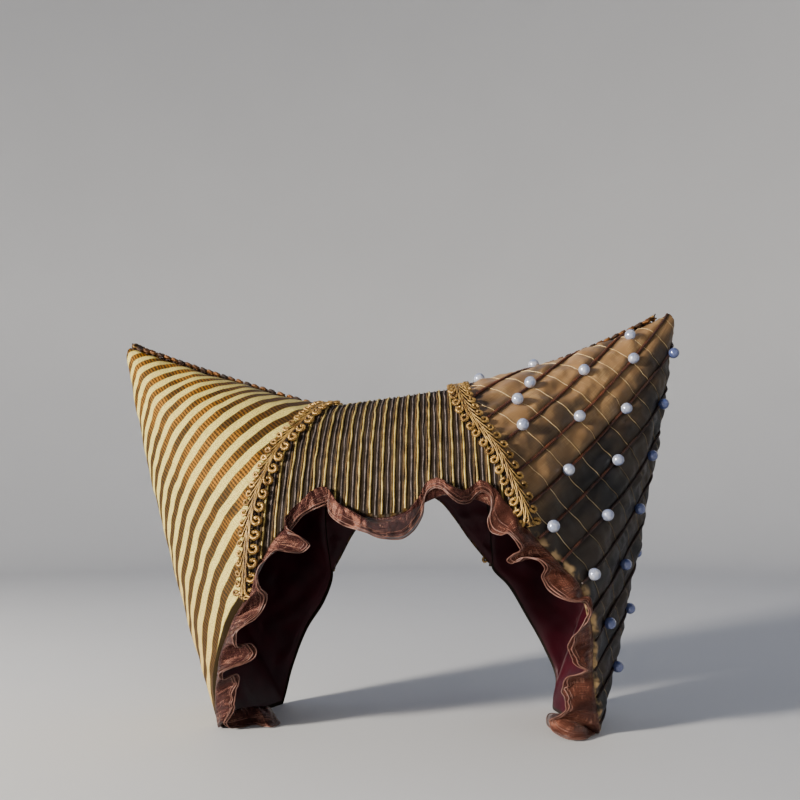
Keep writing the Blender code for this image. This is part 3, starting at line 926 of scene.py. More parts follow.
@dataclass(frozen=True)
class PearlLustre:
    """Glossy imitation pearl with a faint play of pink and blue, and bluer as painted shade on the side
    turned from the light.
    """

    body: tuple = colour(196, 200, 214)
    shade: tuple = colour(150, 160, 190)
    # blue: painted shade of the pearls on the side turned from the light
    blue: tuple = colour(46, 66, 130)

    def dress(self) -> Material:
        """Builds the material."""
        bench = Surface("pearl_lustre")
        tone = bench.noise(bench.place(), 260.0)
        pearl = bench.mix(tone.between(0.35, 0.65), self.shade, self.body)
        return bench.coat(
            # painted shade: bluer on the side turned away from the light
            Base_Color=bench.mix(bench.away_from_light(0.25, 0.106, 0.122) * 0.85, pearl, self.blue),
            Roughness=tone * 0.06 + 0.16,
            Metallic=0.3,
            Coat_Weight=1.0,
            Coat_Roughness=0.04,
            Coat_IOR=1.7,
            Specular_IOR_Level=0.7,
            Specular_Tint=colour(235, 240, 255),
        )


class Laid(NamedTuple):
    """Where the vertices of a cloth lie, and what they carry."""

    points: Array
    outward: Array
    flat: Array
    marks: dict


Shape = Callable[[Array, Array], Laid]


def mesh_from(name: str, work: BMesh) -> Mesh:
    """Mesh of finished work."""
    mesh = bpy.data.meshes.new(name)
    work.to_mesh(mesh)
    work.free()
    return mesh


def add_object(name: str, data: ID) -> Object:
    """Puts a new object into the scene."""
    made = bpy.data.objects.new(name, data)
    bpy.context.scene.collection.objects.link(made)
    return made


def place_piece(mesh: Mesh, slot: str, *nodes: str) -> Object:
    """Makes a piece of the hat.

    Args:
        mesh: Its finished mesh, with the piece's name.
        slot: Not used.
        nodes: The nodes of the model that it stands for.

    Returns:
        The piece.
    """
    piece = add_object(mesh.name, mesh)
    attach(piece, BODY)
    if nodes:
        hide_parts(*nodes)
    log.info("%s: %d faces", mesh.name, len(mesh.polygons))
    return piece


def lay_cloth(name: str, columns: int, rows: int, shape: Shape, finish: Material) -> Mesh:
    """Makes a cloth from a grid whose vertices move onto a surface.

    Args:
        name: Name of the cloth.
        columns: Faces from side to side.
        rows: Faces from end to end.
        shape: Where the shares across and along the grid lie.
        finish: Material of the cloth.

    Returns:
        The mesh, with its flat coordinates in a UV map and its marks in attributes.
    """
    sheet = bmesh.new()
    bmesh.ops.create_grid(sheet, x_segments=columns, y_segments=rows, size=1.0)
    mesh = mesh_from(name, sheet)
    spots = np.empty(len(mesh.vertices) * 3)
    mesh.vertices.foreach_get("co", spots)
    shares = (spots.reshape(-1, 3)[:, :2] + 1.0) / 2.0
    laid = shape(shares[:, 0], shares[:, 1])
    mesh.vertices.foreach_set("co", laid.points.ravel())
    corners = np.empty(len(mesh.loops), dtype=int)
    mesh.loops.foreach_get("vertex_index", corners)
    chart = mesh.uv_layers.new(name="flat_cloth")
    chart.data.foreach_set("uv", laid.flat[corners].ravel())
    for label, values in laid.marks.items():
        mark = mesh.attributes.new(label, "FLOAT", "POINT")
        mark.data.foreach_set("value", np.asarray(values, float))
    mesh.update()
    normals = np.empty(len(mesh.vertices) * 3)
    mesh.vertices.foreach_get("normal", normals)
    if np.sum(normals.reshape(-1, 3) * laid.outward) < 0:
        mesh.flip_normals()
    sewn = bmesh.new()
    sewn.from_mesh(mesh)
    bmesh.ops.remove_doubles(sewn, verts=sewn.verts, dist=WELD)
    bmesh.ops.dissolve_degenerate(sewn, edges=sewn.edges, dist=WELD / 10)
    sewn.to_mesh(mesh)
    sewn.free()
    mesh.shade_smooth()
    mesh.materials.append(finish)
    return mesh


class CordWork:
    """Cords laid along lines and joined into one piece."""

    def __init__(self, name: str, finishes: list, sides: int = 1) -> None:
        """Starts the work.

        Args:
            name: Name of the piece.
            finishes: Materials, one for each kind of cord.
            sides: 0 for cords of four sides, 1 for six and 2 for eight.
        """
        self.name = name
        self.line = bpy.data.curves.new(name, "CURVE")
        self.line.dimensions = "3D"
        self.line.bevel_depth = MM
        self.line.bevel_resolution = sides
        self.line.use_fill_caps = True
        for finish in finishes:
            self.line.materials.append(finish)

    def lay(self, points: Array, radius: object, kind: int = 0) -> None:
        """Lays one cord along points, with one radius or a radius for each point."""
        spline = self.line.splines.new("POLY")
        spline.points.add(len(points) - 1)
        spline.points.foreach_set("co", np.column_stack([points, np.ones(len(points))]).ravel())
        radii = np.broadcast_to(np.asarray(radius, float) / MM, (len(points),))
        spline.points.foreach_set("radius", np.ascontiguousarray(radii))
        spline.material_index = kind
        spline.use_smooth = True

    def twist(self, points: Array, outs: Array, strand: float, pitch: float, step: float,
              kind: int = 0, swell: float = 0.9) -> None:
        """Lays two strands that twist round each other along a line.

        Args:
            points: Points of the line.
            outs: Outward direction at each.
            strand: Radius of a strand.
            pitch: Length of a full twist.
            step: Distance between the points of a strand.
            kind: Which of the materials.
            swell: How far the strands stand off the line, in strand radii.
        """
        runs = run_of(points)
        count = max(4, int(runs[-1] / step))
        stops = np.linspace(0.0, runs[-1], count + 1)
        line = pick(stops, runs, points)
        out = unit(pick(stops, runs, outs))
        rail = unit(np.gradient(line, axis=0))
        aside = unit(np.cross(rail, out))
        phase = stops / pitch * TURN
        for start in (0.0, math.pi):
            turn = phase + start
            off = (np.cos(turn)[:, None] * aside + np.sin(turn)[:, None] * out) * strand * swell
            self.lay(line + off, strand, kind)

    def piece(self, slot: str, *nodes: str) -> Object:
        """Turns the cords into one mesh piece, in place of the nodes."""
        holder = add_object(self.name + "_line", self.line)
        graph = bpy.context.evaluated_depsgraph_get()
        mesh = bpy.data.meshes.new_from_object(holder.evaluated_get(graph))
        bpy.data.objects.remove(holder, do_unlink=True)
        bpy.data.curves.remove(self.line)
        mesh.name = self.name
        return place_piece(mesh, slot, *nodes)


def rolled_hem(roll: float, turn_in: float, tucked: int, rounded: int) -> list:
    """Rows of a hem from its turned-in edge up to the fold.

    Args:
        roll: Radius of the fold.
        turn_in: Length of the turned-in cloth.
        tucked: Rows of the turned-in cloth.
        rounded: Rows round the fold.

    Returns:
        For each row: distance past the edge, how far it is sunk, and length of cloth past the edge.
    """
    inside = [(-near, 2 * roll, roll * math.pi + near)
              for near in np.linspace(turn_in, 0.0, tucked + 1)[:-1]]
    return inside + [(roll * math.sin(angle), roll * (1 + math.cos(angle)), roll * (math.pi - angle))
                     for angle in np.linspace(0.0, math.pi, rounded + 1)[:-1]]


@dataclass
class HornCover:
    """Cloth of a horn: out of the tip, down the cone, over the rim and turned in."""

    form: HornForm
    flat: FlatCloth
    name: str
    node: str
    slot: str
    columns: int = 340
    body_rows: int = 156
    turn_in: float = 8.0 * MM
    roll: float = 1.05 * MM
    rounding: float = 4.0 * MM
    tip_dome: float = 3.0 * MM
    roll_rows: int = 7
    dome_rows: int = 8

    def profile(self) -> Array:
        """Rows of the cloth from its turned-in edge to the tip.

        Returns:
            For each row: distance past the rim, depth, how far it is sunk below the outer
            face, share of the tip's dome, and length of cloth past the rim.
        """
        hem = [(past, 0.0, sunk, 0.0, extra)
               for past, sunk, extra in rolled_hem(self.roll, self.turn_in, 4, self.roll_rows)]
        body = [(0.0, depth, 0.0, 0.0, 0.0) for depth in np.linspace(0.0, 1.0, self.body_rows)]
        dome = [(0.0, 1.0, 0.0, share, 0.0) for share in np.linspace(0.0, 1.0, self.dome_rows)[1:]]
        return np.array(hem + body + dome)

    def seam_distance(self, places: Array, radii: Array) -> Array:
        """Rough distance of spots from the braid over the seam, along the cloth."""
        seam_places = np.mod(places, LOOP_STEPS)
        past = np.maximum(0.0, np.minimum(seam_places - SEAM_STEPS, LOOP_STEPS - seam_places))
        spacing = np.linalg.norm(self.form.loop[FINE] - self.form.loop[0])
        return np.hypot(self.flat.slant(places) - radii, past * spacing)

    def lift(self, flat: Array, places: Array, radii: Array) -> Array:
        """Height of the cloth over the stiff cone."""
        raise NotImplementedError

    def marks(self, flat: Array, places: Array, radii: Array) -> dict:
        """Values that the finish reads from the vertices."""
        return {}

    def surface(self, along: Array, across: Array, over: float) -> tuple[Array, Array, Array]:
        """Finds points on or over the cloth.

        Args:
            along: Distances along the grain.
            across: Distances across it.
            over: Height over the cloth.

        Returns:
            The points, their outward directions, and whether there is cloth at each.
        """
        places, depths, inside = self.flat.find(along, across)
        points, outs = self.form.at(places, depths)
        flat = np.stack([along, across], axis=-1)
        rise = self.lift(flat, places, np.hypot(along, across)) + over
        return points + outs * rise[..., None], outs, inside

    def shape(self, u: Array, v: Array) -> Laid:
        """Lays the grid on the horn."""
        rows = self.profile()
        past, depth, sunk, dome, extra = rows[np.rint(v * (len(rows) - 1)).astype(int)].T
        places = self.form.closing_place() + u * LOOP_STEPS
        slants = self.flat.slant(places)
        depths = depth - past / slants
        points, outs = self.form.at(places, depths)
        radii = slants * (1 - depth * (1 - TIP_SCALE))
        flat = self.flat.spots(places, radii + extra)
        near_rim = ramp(slants - radii, self.rounding, 0.0)
        free = ramp(self.seam_distance(places, radii), 2 * MM, 6 * MM)
        rounded = self.roll * (1 - np.sqrt(np.maximum(0.0, 1 - near_rim**2))) * 0.8
        body = (past == 0.0) & (sunk == 0.0)
        rise = np.where(body, self.lift(flat, places, radii) - rounded * free, 0.0) - sunk
        points = points + outs * rise[:, None]
        rim_end = self.form.tip + (self.form.loop.mean(axis=0) - self.form.tip) * TIP_SCALE
        axis = unit(self.form.tip - self.form.loop.mean(axis=0))
        shrink = np.cos(dome * math.pi / 2)[:, None]
        points = np.where(dome[:, None] > 0, rim_end + (points - rim_end) * shrink, points)
        points = points + axis * (np.sin(dome * math.pi / 2) * self.tip_dome)[:, None]
        points[:, 2] = np.maximum(points[:, 2], 0.0)
        marks = self.marks(flat, places, radii)
        rim = ramp(slants - radii, 7 * MM, 0.0) * free
        marks["rim"] = np.maximum(rim, (past > 0) | (extra > 0))
        chart = np.stack([flat[:, 1], flat[:, 0]], axis=-1)
        return Laid(points, outs, chart, marks)

    def build(self, finish: Material) -> Object:
        mesh = lay_cloth(self.name, self.columns, len(self.profile()) - 1, self.shape, finish)
        piece = place_piece(mesh, self.slot, self.node)
        self.flat.size()
        return piece


@dataclass
class StripedCover(HornCover):
    """Striped satin of the left horn, pulled tight with a few puckers by the braid."""

    waves: tuple = (Unevenness(11, 46 * MM), Unevenness(12, 13 * MM))
    pucker: float = 0.5 * MM

    def lift(self, flat: Array, places: Array, radii: Array) -> Array:
        """Height of the cloth over the stiff cone."""
        seam = self.seam_distance(places, radii)
        calm = ramp(radii, 0.0, 60 * MM) * np.maximum(0.15, ramp(seam, 4 * MM, 18 * MM))
        rise = (0.7 * self.waves[0].at(flat) + 0.28 * self.waves[1].at(flat)) * MM * calm
        pulls = np.sin(places * 2.9 + 0.8 * np.sin(places * 1.3))
        return rise + self.pucker * pulls * np.exp(-((seam - 9 * MM) / (9 * MM)) ** 2) * (seam > 4 * MM)

    def marks(self, flat: Array, places: Array, radii: Array) -> dict:
        """Stripe coordinate: the cloth was cut with a crease, and its stripes bend at it."""
        along, across = flat[:, 0], flat[:, 1]
        crease = -12 * MM - 0.18 * (along - 70 * MM)
        left = crease - across
        soft = 3 * MM
        left = np.where(left > -30 * MM, soft * np.logaddexp(0.0, left / soft), 0.0)
        right = np.maximum(0.0, across) * np.clip((along - 118 * MM) / (147 * MM), -0.3, 0.15)
        return {"stripe": along - 0.27 * left + right}


@dataclass
class QuiltedCover(HornCover):
    """Shot cloth of the right horn, held down by cords and threads in puffed cells."""

    pitch: float = 19.2 * MM
    first_cord: float = 41.8 * MM
    first_thread: float = 188.5 * MM
    line_reach: float = 0.34
    line_step: float = 1.0 * MM
    bare_tip: float = 9 * MM
    bare_foot: float = 1.3 * MM
    puff: float = 1.6 * MM
    folds: float = 1.7 * MM
    tuck: float = 0.7 * MM
    sway: float = 0.2 * MM
    cord: float = 0.6 * MM
    cord_pitch: float = 4.0 * MM
    thread: float = 0.19 * MM
    waves: tuple = (Unevenness(21, 17 * MM), Unevenness(22, 34 * MM), Unevenness(23, 7 * MM))

    def cell(self, flat: Array) -> tuple[Array, Array]:
        """Share of the way, 0 to 1, from a cord and from a thread to the middle of the cell."""
        shares = []
        for axis, first in ((1, self.first_cord), (0, self.first_thread)):
            turns = (flat[..., axis] - first) / self.pitch
            shares.append(2 * np.abs(turns - np.round(turns)))
        return shares[0], shares[1]

    def lift(self, flat: Array, places: Array, radii: Array) -> Array:
        """Height of the cloth over the stiff cone."""
        across, along = self.cell(flat)
        seam = self.seam_distance(places, radii)
        calm = ramp(radii, 12 * MM, 62 * MM) * (0.12 + 0.88 * ramp(seam, 7 * MM, 16 * MM))
        half = LOOP_STEPS / 2
        turned = np.mod(places - self.form.closing_place() + half, LOOP_STEPS) - half
        closing = np.abs(turned) * radii * (self.flat.fan[-1] / LOOP_STEPS)
        calm = calm * np.maximum(0.1, ramp(closing, 3 * MM, 10 * MM))
        dome = np.sin(np.clip(across, 0, 1) * math.pi / 2) ** 0.75
        dome = dome * (0.45 + 0.55 * np.sin(np.clip(along, 0, 1) * math.pi / 2) ** 0.8)
        stretched = flat * np.array((0.55, 1.25))
        crumple = 0.65 * self.waves[0].at(stretched) + 0.5 * self.waves[1].at(flat)
        crumple = crumple + 0.14 * self.waves[2].at(flat)
        held = np.clip(across * 2.5, 0.0, 1.0) * (0.45 + 0.55 * np.clip(along * 3, 0.0, 1.0))
        return (self.tuck + self.puff * dome + self.folds * crumple * held) * calm

    def marks(self, flat: Array, places: Array, radii: Array) -> dict:
        """How far each spot is from the nearest cord, as a share."""
        across, _ = self.cell(flat)
        return {"puff": across}

    def lines(self, across_grain: bool, margin: float, over: float) -> list:
        """Lines of the quilting over the cloth.

        Args:
            across_grain: True for the threads, False for the cords.
            margin: Distance that the lines keep from the rim.
            over: Height over the cloth.

        Returns:
            For each line its points and outward directions.
        """
        found = []
        runs = np.arange(-self.line_reach, self.line_reach, self.line_step)
        wobble = Unevenness(31, 24 * MM)
        for number in range(-16, 22):
            first = self.first_thread if across_grain else self.first_cord
            fixed = first - number * self.pitch
            sway = wobble.at(np.stack([runs, np.full_like(runs, number * 0.7)], axis=-1)) * self.sway
            along, across = (fixed + sway, runs) if across_grain else (runs, fixed + sway)
            points, outs, inside = self.surface(along, across, over)
            radii = np.hypot(along, across)
            places, _, _ = self.flat.find(along, across)
            inside &= (radii > self.bare_tip) & (radii < self.flat.slant(places) - margin)
            inside &= points[:, 2] > self.bare_foot
            found.extend((points[part], outs[part]) for part in stretches(inside, 9))
        return found

    def build_cords(self, finish: Material) -> Object:
        """Twisted cords that hold the cloth down along its grain."""
        work = CordWork("pintuck_cords", [finish])
        for points, outs in self.lines(False, 0.3 * MM, 0.75 * MM):
            work.twist(points, outs, self.cord, self.cord_pitch, 1.0 * MM)
        return work.piece(self.slot)

    def build_threads(self, finish: Material) -> Object:
        """Thin gold threads drawn across the cords."""
        work = CordWork("gold_threads", [finish], sides=0)
        for points, _ in self.lines(True, 1.0 * MM, 0.22 * MM):
            work.lay(points, self.thread)
        return work.piece(self.slot)


class RibRow(NamedTuple):
    """Cords of one kind on the ribs: place beside the rib lines, height and radius in millimetres, seed."""

    offset: float
    over: float
    radius: float
    seed: int


RIBS = table(RibRow, (0.0, 0.45, 0.62, 51), (3.3, 0.2, 0.46, 52), (-1.3, 0.0, 0.55, 53))


@dataclass
class BandCover:
    """Ribbed cloth over the band, its two free edges rolled in, and the cords of its ribs."""

    band: BandForm
    left: HornForm
    right: HornForm
    columns: int = 120
    body_rows: int = 140
    edge_steps: int = 240
    cut_steps: tuple = (40, 60)
    roll: float = 1.0 * MM
    turn_in: float = 7.0 * MM
    fuzz: float = 0.25 * MM
    pitch: float = 6.8 * MM
    rib_reach: float = 1.25
    rib_step: float = 0.0105
    sway: float = 0.32 * MM
    swell: float = 0.14
    fan: float = 0.1
    fan_middle: float = -8.0 * MM
    name: str = "ribbed_band"
    node: str = "crown_band"
    slot: str = "ribbed_cloth"

    def edges(self) -> tuple[Array, Array, Array, Array]:
        """West, east, south and north edge in the band's own coordinates."""
        west, east = self.left.domain, self.right.domain
        south = self.band.edge(FRONT_EDGE, -1, (west[0], east[0]), self.edge_steps)
        north = self.band.edge(BACK_EDGE, 1, (west[-1], east[-1]), self.edge_steps)
        return west, east, south, north

    def domain(self, u: Array, v: Array) -> Array:
        """Own coordinates at shares from left to right and from front to back."""
        west, east, south, north = (
            pick(share, np.linspace(0.0, 1.0, len(edge)), edge)
            for edge, share in zip(self.edges(), (v, v, u, u))
        )
        u, v = u[:, None], v[:, None]
        left, right = self.left.domain, self.right.domain
        front, back = ((1 - u) * left[end] + u * right[end] for end in (0, -1))
        return (1 - u) * west + u * east + (1 - v) * south + v * north - ((1 - v) * front + v * back)

    def rib(self, across: Array, turn: Array) -> Array:
        """Which rib line a spot is on: the lines spread a little towards the front and back edge."""
        spread = 1 + self.fan * np.minimum(np.abs(turn), 1.2)
        return self.fan_middle + (across - self.fan_middle) / spread

    def profile(self) -> Array:
        """Rows from the turned-in front edge to the turned-in back edge.

        Returns:
            For each row: distance past the edge, share from front to back, how far it is sunk.
        """
        hem = rolled_hem(self.roll, self.turn_in, 3, 6)
        front, back = ([(past, end, sunk) for past, sunk, _ in hem] for end in (0.0, 1.0))
        body = [(0.0, share, 0.0) for share in np.linspace(0.0, 1.0, self.body_rows)]
        return np.array(front + body + back[::-1])

    def shape(self, u: Array, v: Array) -> Laid:
        """Lays the grid on the band."""
        rows = self.profile()
        past, share, sunk = rows[np.rint(v * (len(rows) - 1)).astype(int)].T
        spots = self.domain(u, share)
        points = self.band.point(*spots.T)
        outs = self.band.normal(*spots.T)
        off = unit(self.band.slope(*spots.T)) * np.where(share < 0.5, -1.0, 1.0)[:, None]
        fuzz = Unevenness(41, 24 * MM).at(points) * self.fuzz
        points = points + off * past[:, None] + outs * (np.where(sunk == 0.0, fuzz, 0.0) - sunk)[:, None]
        rib = self.rib(*spots.T)
        flat = np.stack([rib, spots[:, 1] * self.band.turn_length], axis=-1)
        return Laid(points, outs, flat, {})

    def inside(self, across: Array, turn: Array) -> Array:
        """Which spots lie between the band's four edges."""
        west, east, south, north = self.edges()
        border = np.vstack([south, east, north[::-1], west[::-1]])
        after = np.roll(border, -1, axis=0)
        found = np.zeros(len(across), dtype=bool)
        for (x0, y0), (x1, y1) in zip(border, after):
            if y0 == y1:
                continue
            crosses = (turn < y0) != (turn < y1)
            found ^= crosses & (across < x0 + (turn - y0) / (y1 - y0) * (x1 - x0))
        return found

    def rib_lines(self, offset: float, over: float, seed: int) -> list:
        """Points of the lines along the ribs, over the cloth."""
        found = []
        turns = np.arange(-self.rib_reach, self.rib_reach, self.rib_step)
        sway = Unevenness(seed, 15 * MM)
        for number in range(-16, 16):
            base = number * self.pitch + offset
            spread = 1 + self.fan * np.minimum(np.abs(turns), 1.2)
            line = self.fan_middle + (base - self.fan_middle) * spread
            runs = np.stack([turns * self.band.turn_length, np.full_like(turns, number * 0.31)], axis=-1)
            line = line + sway.at(runs) * self.sway
            for part in stretches(self.inside(line, turns), 5):
                outs = self.band.normal(line[part], turns[part])
                found.append(self.band.point(line[part], turns[part]) + outs * over)
        return found

    def build(self, ground: Material, yarns: list) -> None:
        mesh = lay_cloth(self.name, self.columns, len(self.profile()) - 1, self.shape, ground)
        piece = place_piece(mesh, self.slot, self.node)
        cords = CordWork("band_cords", yarns)
        rng = np.random.default_rng(43)
        for kind, row in enumerate(RIBS):
            for points in self.rib_lines(row.offset * MM, row.over * MM, row.seed):
                swell = 1 + self.swell * (rng.random(len(points)) - 0.5)
                cords.lay(points, row.radius * MM * swell, kind)
        self.flat_size()
        cords.piece(self.slot)

    def flat_size(self) -> tuple[float, float, float]:
        """Width, length and area of the cloth before it was turned in."""
        u, v = np.meshgrid(*(np.linspace(0.0, 1.0, steps) for steps in self.cut_steps))
        spots = self.domain(u.ravel(), v.ravel())
        points = self.band.point(*spots.T).reshape(*u.shape, 3)
        sides = np.diff(points, axis=0)[:, :-1], np.diff(points, axis=1)[:-1]
        area = float(np.sum(np.linalg.norm(np.cross(*sides), axis=-1)))
        width = float(np.ptp(points[..., 0]))
        length = float(max(run_of(points[:, column])[-1] for column in range(self.cut_steps[0])))
        return width, length, area


@dataclass
class Lining:
    """Satin inside the horns and under the band."""

    band_cover: BandCover
    gap: float = 3.0 * MM
    hem_gap: float = 1.5 * MM
    wrinkle: float = 0.9 * MM
    deepest: float = 0.93
    columns: int = 170
    rows: int = 76
    band_columns: int = 90
    band_rows: int = 110
    slot: str = "lining_satin"

    def wrinkles(self, points: Array, seed: int) -> Array:
        """Soft folds of satin that isn't pulled tight."""
        stretched = points * np.array((1.0, 0.5, 1.4))
        folds = Unevenness(seed, 30 * MM).at(points) + 0.5 * Unevenness(seed + 1, 12 * MM).at(stretched)
        return self.wrinkle * folds

    def build_horn(self, name: str, node: str, cover: HornCover, seed: int, finish: Material) -> None:
        form, flat_cloth = cover.form, cover.flat

        def shape(u: Array, v: Array) -> Laid:
            """Lays the grid inside the horn, from its hem to near the tip."""
            places = form.closing_place() + u * LOOP_STEPS
            depths = v * self.deepest
            points, outs = form.at(places, depths)
            slants = flat_cloth.slant(places)
            hem = ramp(v * slants, 0.0, 6 * MM)
            open_end = ramp(v, 1.0, 0.95)
            sunk = self.hem_gap + (self.gap - self.hem_gap) * np.sqrt(hem)
            sunk = sunk * np.sqrt(open_end) + 2 * MM * (1 - open_end)
            rise = self.wrinkles(points, seed) * hem * np.clip((1 - v) * 3, 0.0, 1.0)
            points = points - outs * (sunk + np.abs(rise))[:, None]
            middle = form.tip + (form.loop.mean(axis=0) - form.tip) * (1 - self.deepest * (1 - TIP_SCALE))
            shut = ramp(v, 0.97, 1.0)[:, None]
            points = points * (1 - shut) + middle * shut
            points[:, 2] = np.maximum(points[:, 2], 0.2 * MM)
            chart = flat_cloth.spots(places, slants * (1 - depths * (1 - TIP_SCALE)))
            return Laid(points, -outs, chart[:, ::-1], {})

        mesh = lay_cloth(name, self.columns, self.rows, shape, finish)
        place_piece(mesh, self.slot, node)
        flat_cloth.size()

    def build_band(self, name: str, finish: Material) -> None:
        cover = self.band_cover

        def shape(u: Array, v: Array) -> Laid:
            """Lays the grid under the band."""
            spots = cover.domain(u, v)
            points = cover.band.point(*spots.T)
            outs = cover.band.normal(*spots.T)
            edge = ramp(np.minimum(v, 1 - v), 0.0, 0.03)
            sunk = self.hem_gap + (self.gap - self.hem_gap) * np.sqrt(edge)
            rise = np.abs(self.wrinkles(points, 77)) * edge
            points = points - outs * (sunk + rise)[:, None]
            flat = spots * np.array((1.0, cover.band.turn_length))
            return Laid(points, -outs, flat, {})

        mesh = lay_cloth(name, self.band_columns, self.band_rows, shape, finish)
        place_piece(mesh, self.slot, "lining_band")
        cover.flat_size()


@dataclass
class SeamBed:
    """Strip of cloth on both sides of the seam of a horn and the band, that a braid lies on."""

    band: BandForm
    form: HornForm

    def length(self) -> float:
        """Length of the seam."""
        return float(run_of(self.form.loop[: SEAM_STEPS * FINE + 1])[-1])

    def at(self, runs: Array, asides: Array) -> tuple[Array, Array]:
        """Points on the cloth and their outward directions.

        Args:
            runs: Distances along the seam from its front end.
            asides: Distances from the seam, positive on the horn and negative on the band.

        Returns:
            The points and the directions.
        """
        seam = self.form.loop[: SEAM_STEPS * FINE + 1]
        marks = run_of(seam)
        runs = np.clip(runs, 0.0, marks[-1])
        index = np.interp(runs, marks, np.arange(len(seam)))
        base = pick(runs, marks, seam)
        rail = unit(pick(runs, marks, np.gradient(seam, axis=0)))
        lean = unit(pick(runs, marks, self.form.lean[: len(seam)]))
        generator = self.form.tip - base
        reach = np.linalg.norm(np.cross(rail, generator), axis=-1)
        depth = np.maximum(asides, 0.0) / reach / (1 - TIP_SCALE)
        spacing = marks[-1] / SEAM_STEPS
        back = np.sum(rail * generator, axis=-1) * depth / spacing
        on_horn, horn_out = self.form.at(index / FINE - back, depth)
        across, turn = pick(runs, marks, self.form.domain).T
        normal = self.band.normal(across, turn)
        aside = unit(np.cross(rail, normal))
        aside = aside * np.where(aside[:, :1] * self.form.side > 0, -1.0, 1.0)
        over = self.band.slope(across, turn)
        shift = np.maximum(-asides, 0.0)
        across = across + shift * aside[:, 0]
        turn = turn + shift * np.sum(aside * over, axis=-1) / np.sum(over * over, axis=-1)
        on_band, band_out = self.band.point(across, turn), self.band.normal(across, turn)
        horn_side = (asides > 0)[:, None]
        share = ramp(np.abs(asides), 0.0, 4 * MM)[:, None]
        outs = unit(lean * (1 - share) + np.where(horn_side, horn_out, band_out) * share)
        return np.where(horn_side, on_horn, on_band), outs


@dataclass
class ClosingBed:
    """Strip of cloth along the closing seam on top of a horn."""

    form: HornForm
    flat: FlatCloth
    start: float = 0.09
    stop: float = 0.985

    def length(self) -> float:
        """Length of the strip."""
        return float(self.flat.slants[0] * (self.stop - self.start) * (1 - TIP_SCALE))

    def at(self, runs: Array, asides: Array) -> tuple[Array, Array]:
        """Points on the cloth and outward directions, at distances along and beside the seam."""
        runs = np.clip(runs, 0.0, self.length())
        depths = self.start + runs / self.length() * (self.stop - self.start)
        place = np.full_like(depths, self.form.closing_place())
        before, _ = self.form.at(place - 0.5, depths)
        after, _ = self.form.at(place + 0.5, depths)
        spacing = np.maximum(np.linalg.norm(after - before, axis=-1), 1.2 * MM)
        return self.form.at(place + asides / spacing, depths)


class CurlRow(NamedTuple):
    """One row of loops of a gimp, in millimetres: side is 1 on the horn and -1 on the band."""

    side: int
    pitch: float
    ring: float
    middle: float
    strand: float


LEFT_CURLS = table(CurlRow, (-1, 8.9, 2.7, 4.8, 0.8), (1, 6.3, 1.85, 4.5, 0.6))
RIGHT_CURLS = table(CurlRow, (-1, 7.2, 2.25, 4.8, 0.66), (1, 7.2, 2.2, 5.0, 0.64))
TOP_CURLS = table(CurlRow, (-1, 6.8, 2.8, 3.0, 0.76), (1, 7.2, 2.7, 3.0, 0.72))


